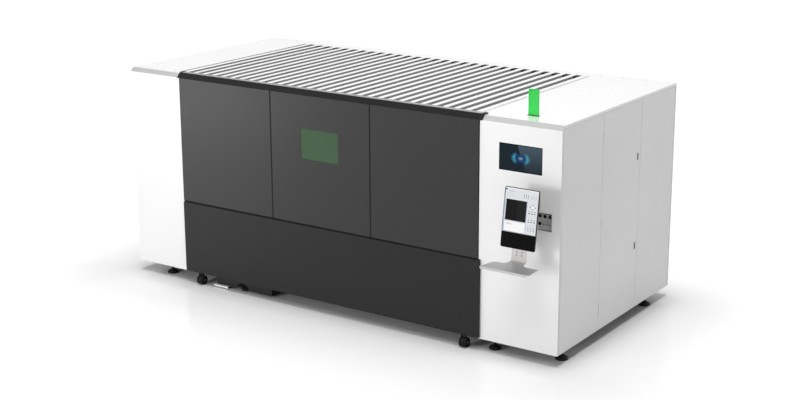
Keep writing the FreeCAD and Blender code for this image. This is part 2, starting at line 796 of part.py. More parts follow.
def slatBed():
    """Saw-tooth knife slats that stand in the slots of two combs."""
    teeth = int(number("(tableBack - tableFront - 2*tableTube)/toothPitch"))
    length = "%d*toothPitch" % teeth
    start = "(tableFront + tableBack - %s)/2" % length
    outline = [("0", "0"), (length, "0")]
    for tooth in reversed(range(teeth)):
        outline.append(("%d*toothPitch" % (tooth + 1), "slatHeight - toothDepth"))
        outline.append(("%d*toothPitch + toothPitch/2" % tooth, "slatHeight"))
    outline.append(("0", "slatHeight - toothDepth"))
    body = prism("YZ_Plane", outline, "slatStart - slatThickness/2", "slatThickness")
    bind(body, "Placement.Base.y", start)
    bind(body, "Placement.Base.z", "slatBottom")
    slat = body.Tip
    row = body.newObject("PartDesign::LinearPattern", "slats")
    row.Originals = [slat]
    row.Direction = (slat.Profile[0], ["N_Axis"])
    bind(row, "Length", "slatPitch*(slatCount - 1)")
    bind(row, "Occurrences", "slatCount")
    body.Tip = row
    piece(body, "table_slats")

    half = "(slatThickness/2 + slatClear)"
    foot = "slatBottom - tubeTop"
    comb = [("sideLeft + sideTube - slatStart", "0"), ("sideRight - sideTube - slatStart", "0"),
            ("sideRight - sideTube - slatStart", "combHeight")]
    for index in reversed(range(int(number("slatCount")))):
        middle = "%d*slatPitch" % index
        comb += [("%s + %s" % (middle, half), "combHeight"), ("%s + %s" % (middle, half), foot),
                 ("%s - %s" % (middle, half), foot), ("%s - %s" % (middle, half), "combHeight")]
    comb.append(("sideLeft + sideTube - slatStart", "combHeight"))
    combs = []
    for share in ("0.33", "0.67"):
        line = "tableFront + (tableBack - tableFront)*%s + sideTube/2 - combThickness/2" % share
        bar = prism("XZ_Plane", comb, line, "combThickness")
        bind(bar, "Placement.Base.x", "slatStart")
        bind(bar, "Placement.Base.z", "tubeTop")
        combs.append(bar)
    piece(together(*combs), "slat_combs")


def slagTray():
    """A folded trough that hangs between the table's beams under the slats."""
    front, rear = "tableFront + tableTube", "tableBack - tableTube"
    top, low = "tubeTop - sideTube", "tubeTop - sideTube - trayDrop"
    outline = [(front, top), (front, top + " - sheet"),
               ("(%s + %s - trayFloor)/2" % (front, rear), low),
               ("(%s + %s + trayFloor)/2" % (front, rear), low),
               (rear, top + " - sheet"), (rear, top),
               ("(%s + %s + trayFloor)/2 - sheet" % (front, rear), low + " + sheet"),
               ("(%s + %s - trayFloor)/2 + sheet" % (front, rear), low + " + sheet")]
    start = "sideLeft + sideTube"
    return piece(prism("YZ_Plane", outline, start, "sideRight - sideTube - (%s)" % start), "slag_tray")


def drawerRails():
    bars = []
    for x in ("sideLeft + (sideTube - railWide)/2", "sideRight - (sideTube + railWide)/2"):
        bars.append(block((x, x + " + railWide"), ("innerFront", "innerBack - postSize"),
                          ("sillTop", "railTop")))
    return piece(together(*bars), "drawer_rails")


def casters():
    """Rigid casters: a bent fork with its axle, and a solid wheel."""
    forks = []
    for middle, side in zip(casterLines(), ("left", "right")):
        cheek = "(wheelWidth/2 + cheekGap)"
        deep = ("caster - wheelRadius/2", "caster + wheelRadius/4")
        plate = block((middle + " - legWidth/2", middle + " + legWidth/2"),
                      (deep[0], "face - skirtGap"), ("skirtBottom - forkPlate", "skirtBottom"))
        sides = []
        for start in ("%s - %s - sheet" % (middle, cheek), "%s + %s" % (middle, cheek)):
            sides.append(block((start, start + " + sheet"), deep,
                               ("wheelRadius - 2*wheelAxle", "skirtBottom - forkPlate")))
        axle = rod(("%s - %s - sheet" % (middle, cheek), "caster", "wheelRadius"),
                   "wheelAxle", "wheelWidth + 2*cheekGap + 2*sheet", "x")
        forks.append(fused(plate, *sides, axle))
        disc = rod((middle + " - wheelWidth/2", "caster", "wheelRadius"),
                   "wheelRadius", "wheelWidth", "x")
        bore = rod((middle + " - wheelWidth", "caster", "wheelRadius"),
                   "wheelAxle + boreClear", "2*wheelWidth", "x")
        piece(without(disc, bore), "caster_wheel_" + side)
    return piece(together(*forks), "caster_forks")


# --- gantry ------------------------------------------------------------------------------------

def gantryParts():
    side = ("gantry - gantryWidth/2", "gantry + gantryWidth/2")
    beam = block(side, ("gantryFront", "gantryBack"), ("gantryBottom", "gantryTop"))
    tracks = []
    for height in ("gantryBottom + gantryHeight*0.2", "gantryBottom + gantryHeight*0.7"):
        tracks.append(block(("headPlane", "headPlane + headPlate/2"), ("gantryFront", "gantryBack"),
                            (height, height + " + railWidth")))
    piece(fused(beam, *tracks), "gantry_beam")

    height = ("carriageBottom", "gantryBottom")
    along = ("gantry - carriageRear", "gantry + carriageFront")
    frontEdge, rearEdge = "innerFront + rackInset + rackWidth", "rearBeam + beamWidth - rackInset - rackWidth"
    front = block(along, ("gantryFront", frontEdge + " + 3*pinionRadius"), height)
    rear = block(along, (rearEdge + " - 3*pinionRadius", "gantryBack"), height)
    piece(together(front, rear), "gantry_carriages")

    drives = []
    motorX = "gantry - carriageRear + motorSize/2"
    guard = "2*pinionRadius"
    for line in (frontEdge + " + slideGap", "%s - slideGap - %s" % (rearEdge, guard)):
        middle = "%s + pinionRadius" % line
        drives.append(block((motorX + " - motorSize/2", motorX + " + motorSize/2"),
                            (middle + " - motorSize/2", middle + " + motorSize/2"),
                            ("gantryBottom", "gantryBottom + 2*motorSize")))
        drives.append(block((motorX + " - pinionRadius", motorX + " + pinionRadius"),
                            (line, "%s + %s" % (line, guard)), ("beamTop + sheet", "carriageBottom")))
    piece(together(*drives), "gantry_drives")


def headParts():
    half = "headWidth*1.2"
    plate = block(("headPlane + headPlate/2 + slideGap", "headPlane + headPlate"),
                  ("headY - %s" % half, "headY + %s" % half),
                  ("gantryBottom + 2*slideGap", "gantryTop"))
    drive = block(("headPlane - motorSize", "headPlane + headPlate"),
                  ("headY - motorSize/2", "headY + motorSize/2"),
                  ("gantryTop + slideGap", "gantryTop + slideGap + motorSize"))
    link = block(("headPlane + headPlate/2 + slideGap", "headPlane + headPlate"),
                 ("headY - motorSize/2", "headY + motorSize/2"),
                 ("gantryTop", "gantryTop + slideGap"))
    piece(fused(plate, link, drive), "head_carriage")

    zPlate = block(("slidePlane", "slidePlane + zPlate"),
                   ("headY - headWidth/2", "headY + headWidth/2"),
                   ("gantryBottom", "gantryTop + headWidth"))
    body = block(("slidePlane + zPlate", "slidePlane + zPlate + headWidth"),
                 ("headY - headWidth/2", "headY + headWidth/2"),
                 ("gantryBottom - headWidth/3", "gantryTop - headWidth"))
    lower = "nozzleTip + nozzleHeight"
    optics = turned([("0", lower), ("headWidth*0.2", lower), ("headWidth*0.2", lower + " + headWidth/2"),
                     ("headWidth*0.45", lower + " + headWidth/2"),
                     ("headWidth*0.45", "gantryBottom - headWidth/3"),
                     ("0", "gantryBottom - headWidth/3")], "headX", "headY", "0")
    collimator = smallRound(("headX", "headY", "gantryTop - headWidth"), "headWidth*0.35", "2*headWidth")
    piece(fused(zPlate, body, optics, collimator), "cutting_head")
    tip = smallRound(("headX", "headY", "nozzleTip"), "nozzleRadius/3", "nozzleHeight/2")
    collar = smallRound(("headX", "headY", "nozzleTip + nozzleHeight/2"), "nozzleRadius", "nozzleHeight/2")
    piece(fused(tip, collar), "nozzle")


# --- side door ---------------------------------------------------------------------------------

def latchZ():
    return ("latchUpper", "latchLower")


def sideDoor():
    height = ("groundClearance", "frameTop - seam/2")
    middle = "doorBack - latchInset"
    door = pan(("right - sideDepth + doorGap", "right"), ("doorFront", "doorBack"), height, "-x")
    holes, rims = [], []
    hole = ("%s - latchWidth/2 - latchRim" % middle, "%s + latchWidth/2 + latchRim" % middle)
    for z in latchZ():
        upright = ("%s - latchHeight/2 - latchRim" % z, "%s + latchHeight/2 + latchRim" % z)
        holes.append(block(("right - 2*sheet", "right + sheet"), hole, upright))
        rim = block(("right - 5*sheet", "right"), hole, upright)
        slot = block(("right - 6*sheet", "right + sheet"),
                     ("%s - latchWidth/2" % middle, "%s + latchWidth/2" % middle),
                     ("%s - latchHeight/2" % z, "%s + latchHeight/2" % z))
        rims.append(without(rim, slot))
    piece(without(door, *holes), "side_door")
    piece(together(*rims), "latch_rims")
    for label, z in zip(("upper", "lower"), latchZ()):
        top = "%s + latchHeight/2 - latchClear" % z
        low = "%s - latchHeight/2 + latchClear" % z
        thick, y = "3*sheet", "%s - latchWidth/2 + latchClear" % middle
        width = "latchWidth - 2*latchClear"
        grip = block(("right - " + thick, "right"), (y, "%s + %s" % (y, width)),
                     (low, "%s - %s/2" % (top, thick)))
        knuckle = rod(("right - %s/2" % thick, y, "%s - %s/2" % (top, thick)),
                      thick + "/2", width, "y")
        piece(fused(grip, knuckle), "latch_" + label)
    pins = []
    for share in ("0.1", "0.5", "0.9"):
        z = "groundClearance + panelHeight*%s - hingePinLength/2" % share
        pins.append(smallRound(("right", "doorFront - seam/2", z), "seam/2 - doorGap", "hingePinLength"))
    piece(together(*pins), "door_hinge_pins")


def bayContents():
    floor = "sillTop + sheet"
    source = block(("innerRight - doorPost - laserDepth", "innerRight - doorPost"),
                   ("doorFront + laserInset", "doorBack - laserInset"),
                   (floor, floor + " + laserHeight"))
    grips = []
    for y in ("doorFront + 2*laserInset", "doorBack - 2*laserInset - sheet*4"):
        bar = block(("innerRight - doorPost", "innerRight - doorPost + 8*sheet"),
                    (y, y + " + 4*sheet"), (floor + " + laserHeight/3", floor + " + laserHeight*2/3"))
        space = block(("innerRight - doorPost - sheet", "innerRight - doorPost + 5*sheet"),
                      (y + " - sheet", y + " + 5*sheet"),
                      (floor + " + laserHeight/3 + 4*sheet", floor + " + laserHeight*2/3 - 4*sheet"))
        grips.append(without(bar, space))
    piece(fused(source, *grips), "laser_source")
    inner = "bayRight + postSize + sheet"
    shell = block((inner, inner + " + cabinetDepth"), ("doorFront", "doorBack"),
                  (floor, floor + " + cabinetHeight"))
    doors = []
    for start, end in (("doorFront", "(doorFront + doorBack)/2"), ("(doorFront + doorBack)/2", "doorBack")):
        doors.append(block((inner + " + cabinetDepth", inner + " + cabinetDepth + panDepth"),
                           (start + " + sheet", end + " - sheet"),
                           (floor + " + panDepth", floor + " + cabinetHeight - panDepth")))
    piece(fused(shell, *doors), "control_cabinet")


# --- operator side -----------------------------------------------------------------------------

def displayPanel():
    """A wide screen set flush in the right front cover."""
    x = ("displayLeft", "displayLeft + displayWidth")
    z = ("displayBottom", "displayBottom + displayHeight")
    glass = block(inward(x, "doorGap"), ("face + sheet/3", "face + sheet"), inward(z, "doorGap"))
    case = block(outward(x, "2*sheet"), ("face + sheet", "innerFront - sheet"),
                 outward(z, "2*sheet"))
    return piece(fused(glass, case), "display_panel")


def buttonSpots():
    """Three columns: push-buttons in the top row and at the left of the lower row."""
    high = "plateBottom + plateHeight - plateMargin*1.5"
    low = "plateBottom + plateHeight/2 - plateMargin"
    step = "(plateWidth - 2*plateMargin)/2"
    first = "plateLeft + plateMargin"
    top = [("%s + %d*%s" % (first, index, step), high) for index in range(3)]
    return top + [(first, low)]


def lampSpots():
    low = "plateBottom + plateHeight/2 - plateMargin"
    step = "(plateWidth - 2*plateMargin)*0.3"
    return [("plateLeft + plateWidth - plateMargin - %d*%s" % (index, step), low)
            for index in range(3)]


def buttonPlate():
    plate = block(("plateLeft", "plateLeft + plateWidth"), ("face - sheet", "face"),
                  ("plateBottom", "plateBottom + plateHeight"))
    holes = [smallRound((x, "face - 2*sheet", z), "buttonRadius + buttonClear", "3*sheet", "y")
             for x, z in buttonSpots()]
    piece(without(plate, *holes), "button_plate")
    for index, (x, z) in enumerate(buttonSpots(), 1):
        cap = smallRound((x, "face - sheet - 2*buttonTravel", z), "buttonRadius", "4*buttonTravel", "y")
        piece(cap, "push_button_%d" % index)
    lamps = [smallRound((x, "face - 2*sheet", z), "lampRadius", "sheet", "y") for x, z in lampSpots()]
    piece(together(*lamps), "indicator_lamps")


def beacon():
    x = ("beaconLeft", "beaconLeft + beaconWidth")
    y = ("face + beaconFront", "face + beaconFront + beaconDepth")
    base = block(outward(x, "2*sheet"), outward(y),
                 ("roofLevel", "roofLevel + 2*sheet"))
    piece(base, "beacon_base")
    piece(block(x, y, ("roofLevel + 2*sheet", "roofLevel + 2*sheet + beaconHeight")), "beacon_lens")


def leaning(item, x, along, out):
    """Puts a piece in the plane of the leaning bracket: along its length, and out from its front."""
    item.Placement = FreeCAD.Placement(FreeCAD.Vector(), FreeCAD.Rotation(FreeCAD.Vector(1, 0, 0), 1))
    bind(item, "Placement.Rotation.Angle", "-consoleLean")
    lift, slope = "cos(consoleLean)", "sin(consoleLean)"
    locate(item, x, "face - bendFront + (%s)*%s - (%s)*%s" % (along, slope, out, lift),
           "bendHeight + (%s)*%s + (%s)*%s" % (along, lift, out, slope))
    return item


def slab(width, depth, height):
    item = document.addObject("Part::Box", "slab")
    bind(item, "Length", width)
    bind(item, "Width", depth)
    bind(item, "Height", height)
    return item


def consoleBracket():
    """One folded stainless sheet: upright bracket, bend, flared keyboard tray and front lip."""
    upright = leaning(slab("bracketWidth", "sheet", "bracketHeight"), "console - bracketWidth/2",
                      "0", "0")
    def down(reach):
        return "-((%s) - bendFront)/cos(traySlope)" % reach

    def fillet(side):
        """The concave curve from the neck's edge to the tray's back edge."""
        return [("%s(bracketWidth/2 + trayFlare*%g)" % (side, 1 - math.cos(turn)),
                 down("trayRear - trayFlare*%g" % (1 - math.sin(turn))))
                for turn in (math.radians(step*90/5) for step in range(6))]

    corner = [("-(trayBackLeft - trayCorner)", down("trayRear")),
              ("-(trayBackLeft - trayCorner*0.5)", down("trayRear + trayCorner*0.13")),
              ("-(trayBackLeft - trayCorner*0.13)", down("trayRear + trayCorner*0.5")),
              ("-trayBackLeft", down("trayRear + trayCorner")),
              ("-trayLeft", down("trayReach"))]
    tip = [("trayRight", down("trayReach")), ("trayBackRight", down("trayRear + trayTip")),
           ("trayBackRight - trayTip", down("trayRear"))]
    outline = [("-bracketWidth/2", "sheet")] + fillet("-") + corner
    outline += tip + fillet("")[::-1] + [("bracketWidth/2", "sheet")]
    tray = prism("XY_Plane", outline, "0", "sheet")
    lip = slab("trayLeft + trayRight - lipShort", "sheet", "trayLip")
    for item, x, y, z in ((tray, "0", "0", "0"),
                          (lip, "-trayLeft + sheet", down("trayReach"), "sheet - trayLip")):
        item.Placement = FreeCAD.Placement(FreeCAD.Vector(),
                                           FreeCAD.Rotation(FreeCAD.Vector(1, 0, 0), 1))
        bind(item, "Placement.Rotation.Angle", "traySlope")
        turnedY = "(%s)*cos(traySlope) - (%s)*sin(traySlope)" % (y, z)
        turnedZ = "(%s)*sin(traySlope) + (%s)*cos(traySlope)" % (y, z)
        locate(item, "console + (%s)" % x, "face - bendFront + " + turnedY,
               "bendHeight + " + turnedZ)
    return piece(fused(upright, tray, lip), "console_bracket")


def monitor():
    case = leaning(slab("monitorWidth", "monitorDepth", "monitorHeight"),
                   "console - monitorWidth/2", "monitorUp", "monitorDepth")
    recess = leaning(slab("monitorWidth - 2*bezel", "sheet", "screenHeight"),
                     "console - monitorWidth/2 + bezel",
                     "monitorUp + monitorHeight - bezel - screenHeight", "monitorDepth")
    piece(without(case, recess), "monitor_case")
    glass = leaning(slab("monitorWidth - 2*bezel - doorGap", "sheet*0.8", "screenHeight - doorGap"),
                    "console - monitorWidth/2 + bezel + doorGap/2",
                    "monitorUp + monitorHeight - bezel - screenHeight + doorGap/2",
                    "monitorDepth - sheet*0.2")
    piece(glass, "monitor_screen")


def consoleMount():
    pivotY = "face - pivotFront"
    low, high = "armHeight - armWidth/2", "armHeight + armWidth/2"
    plate = block(("console - armWidth", "console + armWidth"), ("face - 3*sheet", "face"),
                  ("armHeight - armWidth", "armHeight + armWidth"))
    ears = []
    for z in (("%s - 4*sheet" % low, "%s - seam/2" % low), ("%s + seam/2" % high, "%s + 4*sheet" % high)):
        ears.append(block(("console - armKnuckle", "console + armKnuckle"),
                          (pivotY, "face - 3*sheet"), z))
        ears.append(rod(("console", pivotY, z[0]), "armKnuckle", "(%s) - (%s)" % (z[1], z[0])))
    pin = rod(("console", pivotY, low + " - 4*sheet"), "armPin", "armWidth + 8*sheet")
    piece(fused(plate, *ears, pin), "console_wall_mount")

    lean = "(bendFront - (armHeight - bendHeight)*tan(consoleLean))"
    tilt = "armWidth/2*tan(consoleLean)"
    outline = [(pivotY, low), (pivotY, high),
               ("face - %s + %s + sheet/cos(consoleLean)" % (lean, tilt), high),
               ("face - %s - %s + sheet/cos(consoleLean)" % (lean, tilt), low)]
    bar = prism("YZ_Plane", outline, "console - armKnuckle", "2*armKnuckle")
    knuckle = rod(("console", pivotY, low), "armKnuckle", "armWidth")
    bore = rod(("console", pivotY, low + " - sheet"), "armPin + boreClear", "armWidth + 2*sheet")
    piece(without(fused(bar, knuckle), bore), "console_arm")


baseFrame()
upperFrame()
railBeams()
guideRails()
whiteCovers()
sidePanels()
rearCovers()
extractionSpigots()
rearInlets()
roofPlates()
ribbedRoof()
frontPanels()
header()
frontSeals()
levellingFeet()
frontPlinth()
drawerFront()
tableFrame()
slatBed()
slagTray()
drawerRails()
casters()
gantryParts()
headParts()
sideDoor()
bayContents()
displayPanel()
buttonPlate()
beacon()
consoleBracket()
monitor()
consoleMount()

document.recompute()

troubled = [item.Label for item in document.Objects
            if "Invalid" in item.State or "Error" in item.State]
assert not troubled, "not built: %s" % troubled
for item in pieces:
    assert not item.Shape.isNull() and item.Shape.isValid(), "bad shape: " + item.Label

os.makedirs("parts", exist_ok=True)
for item in pieces:
    item.Shape.exportStep("parts/%s.step" % item.Label)
print("%d pieces, %d solids" % (len(pieces), sum(len(item.Shape.Solids) for item in pieces)))
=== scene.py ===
import json
import math

import bmesh
import bpy
from mathutils import Matrix, Vector


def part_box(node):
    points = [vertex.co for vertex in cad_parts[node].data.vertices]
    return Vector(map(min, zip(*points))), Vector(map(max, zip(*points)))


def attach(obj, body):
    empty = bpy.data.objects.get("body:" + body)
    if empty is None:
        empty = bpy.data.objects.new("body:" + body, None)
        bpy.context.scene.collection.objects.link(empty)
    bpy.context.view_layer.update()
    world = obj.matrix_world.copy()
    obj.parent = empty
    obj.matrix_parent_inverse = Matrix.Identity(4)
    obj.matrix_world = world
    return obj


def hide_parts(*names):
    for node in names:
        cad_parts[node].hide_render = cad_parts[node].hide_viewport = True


# a fiber laser cutting machine; the frame's nodes give the place, size and body of every piece
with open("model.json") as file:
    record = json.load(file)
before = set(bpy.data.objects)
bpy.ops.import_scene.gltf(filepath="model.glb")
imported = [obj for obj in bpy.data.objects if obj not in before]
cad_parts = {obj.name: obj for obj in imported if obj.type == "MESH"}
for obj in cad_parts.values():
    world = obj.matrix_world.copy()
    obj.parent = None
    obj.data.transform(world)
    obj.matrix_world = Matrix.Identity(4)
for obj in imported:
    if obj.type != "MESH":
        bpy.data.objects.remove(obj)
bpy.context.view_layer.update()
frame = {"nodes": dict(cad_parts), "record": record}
nodes = frame["nodes"]
bodyOf = {node: body for body, members in frame["record"]["behaviour"]["bodies"].items() for node in members}
slotOf = {part["node"]: part["material_slot"] for part in frame["record"]["subparts"]}
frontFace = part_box("left_front_cover")[0].y  # the plane of the white front
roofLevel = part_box("roof_plates")[1].z
print("frame loaded,", len(nodes), "nodes")


# camera and studio

studio = {
    "cameraPlace": (8.0566, frontFace - 10.4785, 4.8231),
    "cameraTurn": (75.35, 0, 33.62),
    "lens": 64.98,
    "sensor": 36,
    "shift": (-0.0282, -0.0299),
    "farthest": 200,
    "skyLevel": 0.26,
    "overhead": 2.0,
    "overheadSoftness": 18,
    "floorHalf": 60,
    "floorColor": (0.58, 0.58, 0.58),
    "floorSeen": (0.74, 0.74, 0.74),
    "floorRoughness": 0.13,
    "floorSpecular": 0.1,
    # the floor's painted shade: the machine's footprint, and the distances from it over which the darker seen
    # colour fades to white
    "shadeHaloFootprint": (("X", 2.5), ("Y", 1.0)),
    "shadeHaloFrom": 0.0,
    "shadeHaloTo": 1.35,
}
lamps = {
    "frontLamp": {"place": (-2.6, frontFace - 8.6, 2.3), "size": 2.4, "power": 338},
    "leftLamp": {"place": (-6.4, frontFace - 5.4, 0.6), "size": 2.0, "power": 77, "mirrored": True},
    "highLamp": {"place": (2.6, frontFace - 3.2, 5.5), "size": 2.5, "power": 82,
                 "target": (2, frontFace, 1.4)},
    "sideLamp": {"place": (10.5, 1.5, 3.0), "size": 4, "power": 50},
}


def lampAt(name, place, size, power, target=(0, 0, 1.1), mirrored=False):
    light = bpy.data.lights.new(name, "AREA")
    light.shape = "SQUARE"
    light.size = size
    light.energy = power
    lamp = bpy.data.objects.new(name, light)
    bpy.context.scene.collection.objects.link(lamp)
    lamp.location = place
    lamp.rotation_euler = (Vector(target) - Vector(place)).to_track_quat("-Z", "Y").to_euler()
    lamp.visible_camera = False
    lamp.visible_glossy = mirrored


def makeCamera(scene):
    camera = bpy.data.objects.new("camera", bpy.data.cameras.new("camera"))
    scene.collection.objects.link(camera)
    camera.location = studio["cameraPlace"]
    camera.rotation_euler = [math.radians(turn) for turn in studio["cameraTurn"]]
    camera.data.lens = studio["lens"]
    camera.data.sensor_width = studio["sensor"]
    camera.data.shift_x, camera.data.shift_y = studio["shift"]
    camera.data.clip_end = studio["farthest"]
    scene.camera = camera


def makeStudio():
    scene = bpy.context.scene
    makeCamera(scene)
    scene.view_settings.view_transform = "Standard"
    for name, lamp in lamps.items():
        lampAt(name, **lamp)
    sun = bpy.data.lights.new("overhead", "SUN")
    sun.energy = studio["overhead"]
    sun.angle = math.radians(studio["overheadSoftness"])
    scene.collection.objects.link(bpy.data.objects.new("overhead", sun))

    world = bpy.data.worlds.new("studio")
    scene.world = world
    world.use_nodes = True
    tree = world.node_tree
    give(tree, tree.nodes["Background"], {
        "Color": (1, 1, 1, 1),
        "Strength": ranged(tree, seenRays(tree), studio["skyLevel"], 1, 0, 1),
    })

    bm = bmesh.new()
    bmesh.ops.create_grid(bm, x_segments=1, y_segments=1, size=studio["floorHalf"])
    mesh = bpy.data.meshes.new("floor")
    bm.to_mesh(mesh)
    bm.free()
    floor = bpy.data.objects.new("floor", mesh)
    scene.collection.objects.link(floor)
    floor.data.materials.append(shadedFloorFinish())


# 1 for camera, glossy and transmission rays, and 0 for the light that falls on things
def seenRays(tree):
    rays = tree.nodes.new("ShaderNodeLightPath")
    total = rays.outputs["Is Camera Ray"]
    for kind in ("Is Glossy Ray", "Is Transmission Ray"):
        total = calculated(tree, total, rays.outputs[kind], "MAXIMUM")
    return total


# near the machine's footprint the floor keeps its rendered shade and a faint mirror image under a seen colour
# darker than the white beyond; this darker colour is painted shade round the machine, and it fades to plain
# white
def shadedFloorFinish():
    made, tree, shader = blank("studioFloorPaintedShade")
    seen = seenRays(tree)
    split = tree.nodes.new("ShaderNodeSeparateXYZ")
    give(tree, split, {"Vector": position(tree)})
    squares = []
    for axis, half in studio["shadeHaloFootprint"]:
        past = calculated(tree, calculated(tree, split.outputs[axis], 0, "ABSOLUTE"), half, "SUBTRACT")
        past = calculated(tree, past, 0, "MAXIMUM")
        squares.append(calculated(tree, past, past))
    distance = calculated(tree, calculated(tree, squares[0], squares[1], "ADD"), 0.5, "POWER")
    # painted shade: 0 near the footprint, where the floor shows the darker seen colour, rising to 1 where it
    # is plain emitted white
    beyondShadeHalo = ranged(tree, distance, 0, 1, studio["shadeHaloFrom"], studio["shadeHaloTo"], smooth=True)
    shown = mixed(tree, beyondShadeHalo, studio["floorSeen"], (0, 0, 0))
    give(tree, shader, {
        "Base Color": mixed(tree, seen, studio["floorColor"], shown),
        "Emission Color": (1, 1, 1, 1),
        "Emission Strength": calculated(tree, seen, beyondShadeHalo),
        "Roughness": studio["floorRoughness"],
        "Specular IOR Level": studio["floorSpecular"],
    })
    return made


# nodes that the finishes share

def blank(name):
    made = bpy.data.materials.new(name)
    made.use_nodes = True
    return made, made.node_tree, made.node_tree.nodes["Principled BSDF"]


# puts fixed values on a node's own sockets, and links what varies over the surface
def give(tree, node, values):
    for key, value in values.items():
        if isinstance(value, bpy.types.NodeSocket):
            tree.links.new(value, node.inputs[key])
        else:
            node.inputs[key].default_value = value


def position(tree, scale=(1, 1, 1), shift=(0, 0, 0)):
    where = tree.nodes.new("ShaderNodeTexCoord")
    mapping = tree.nodes.new("ShaderNodeMapping")
    give(tree, mapping, {"Vector": where.outputs["Object"], "Scale": scale, "Location": shift})
    return mapping.outputs["Vector"]


def noise(tree, scale, detail=3, stretch=(1, 1, 1)):
    texture = tree.nodes.new("ShaderNodeTexNoise")
    give(tree, texture, {"Vector": position(tree, stretch), "Scale": scale, "Detail": detail})
    return texture.outputs["Fac"]


def ranged(tree, value, low, high, fromLow=0.3, fromHigh=0.7, smooth=False):
    node = tree.nodes.new("ShaderNodeMapRange")
    if smooth:
        node.interpolation_type = "SMOOTHSTEP"
    give(tree, node, {"Value": value, "From Min": fromLow, "From Max": fromHigh,
                      "To Min": low, "To Max": high})
    return node.outputs["Result"]


def mixed(tree, factor, first, second):
    node = tree.nodes.new("ShaderNodeMix")
    node.data_type = "RGBA"
    first, second = ((*color, 1) if isinstance(color, tuple) else color for color in (first, second))
    give(tree, node, {"Factor": factor, 6: first, 7: second})
    return node.outputs[2]


def calculated(tree, first, second, operation="MULTIPLY"):
    node = tree.nodes.new("ShaderNodeMath")
    node.operation = operation
    give(tree, node, {0: first, 1: second})
    return node.outputs[0]


# 1 along sharp edges and 0 on the flats
def edges(tree, radius):
    rounded = tree.nodes.new("ShaderNodeBevel")
    rounded.samples = 4
    give(tree, rounded, {"Radius": radius})
    surface = tree.nodes.new("ShaderNodeNewGeometry")
    dot = tree.nodes.new("ShaderNodeVectorMath")
    dot.operation = "DOT_PRODUCT"
    give(tree, dot, {0: rounded.outputs["Normal"], 1: surface.outputs["Normal"]})
    return ranged(tree, dot.outputs["Value"], 1, 0, 0.8, 0.98)


def bumpy(tree, shader, height, depth, strength=0.5):
    bump = tree.nodes.new("ShaderNodeBump")
    give(tree, bump, {"Height": height, "Distance": depth, "Strength": strength})
    give(tree, shader, {"Normal": bump.outputs["Normal"]})


def tint(color, amount):
    return tuple(part * amount for part in color)


# finishes

# a colour that drifts between a darker and a lighter tone of itself, as a pattern goes
def drifting(tree, pattern, color, darker, lighter, fromLow=0.3, fromHigh=0.7):
    amount = ranged(tree, pattern, 0, 1, fromLow, fromHigh)
    return mixed(tree, amount, tint(color, darker), tint(color, lighter))


# stoved paint: a fine orange peel, slight clouds in tone and gloss, and thin edges shifted lighter or darker
# in patches, which is wear and, where the edges of the dark coats turn lighter, a painted edge highlight
coat = {
    "cloudScale": 0.9,
    "edgeWidth": 0.004,
    # patches along the edges in the worn colour: wear, and on the dark coats a painted edge highlight
    "wearHighlightScale": 14,
    "wearHighlightFrom": 0.42,
    "wearHighlightTo": 0.68,
    "wearHighlightAmount": 0.8,
    "smearScale": 5,
    "smearStretch": (1, 1, 0.4),
    "peelDepth": 0.00012,
}


def powderCoat(name, color, edgeWearAndHighlight, roughness, gloss=0.0, glossRoughness=0.07, specular=0.5, peel=260,
               uneven=0.04):
    made, tree, shader = blank(name)
    body = drifting(tree, noise(tree, coat["cloudScale"], 2), color, darker=0.975, lighter=1.02)
    wearHighlightSpots = ranged(tree, noise(tree, coat["wearHighlightScale"], 4), 0, coat["wearHighlightAmount"],
                   coat["wearHighlightFrom"], coat["wearHighlightTo"])
    # edge patches take the worn colour: wear, and where it is lighter than a dark coat, a painted edge
    # highlight
    wornAndHighlitEdges = calculated(tree, edges(tree, coat["edgeWidth"]), wearHighlightSpots)
    smear = noise(tree, coat["smearScale"], 5, coat["smearStretch"])
    give(tree, shader, {
        "Base Color": mixed(tree, wornAndHighlitEdges, body, edgeWearAndHighlight),
        "Roughness": ranged(tree, smear, roughness - uneven, roughness + uneven),
        "Specular IOR Level": specular,
        "Coat Weight": gloss,
        "Coat Roughness": glossRoughness,
    })
    bumpy(tree, shader, noise(tree, peel, 2), coat["peelDepth"])
    return made


# bare metal with lines ground in one direction
def brushed(name, color, roughness, stretch, streak=0.12, depth=0.00003):
    made, tree, shader = blank(name)
    lines = noise(tree, 1, 5, stretch)
    give(tree, shader, {
        "Base Color": drifting(tree, lines, color, darker=1 - streak, lighter=1 + streak / 2),
        "Roughness": ranged(tree, lines, roughness - 0.06, roughness + 0.08),
        "Metallic": 1,
    })
    bumpy(tree, shader, lines, depth, strength=0.25)
    return made


# zinc coated sheet with its faint crystal pattern
def spangled(name, color, roughness, size=45, uneven=0.08):
    made, tree, shader = blank(name)
    crystals = tree.nodes.new("ShaderNodeTexVoronoi")
    give(tree, crystals, {"Vector": position(tree), "Scale": size})
    grey = tree.nodes.new("ShaderNodeRGBToBW")
    give(tree, grey, {"Color": crystals.outputs["Color"]})
    level = grey.outputs["Val"]
    give(tree, shader, {
        "Base Color": drifting(tree, level, color, darker=0.9, lighter=1.05, fromLow=0.1, fromHigh=0.9),
        "Roughness": ranged(tree, level, roughness - uneven, roughness + uneven, 0.1, 0.9),
        "Metallic": 0.9,
    })
    bumpy(tree, shader, noise(tree, 180, 3), depth=0.0001, strength=0.3)
    return made


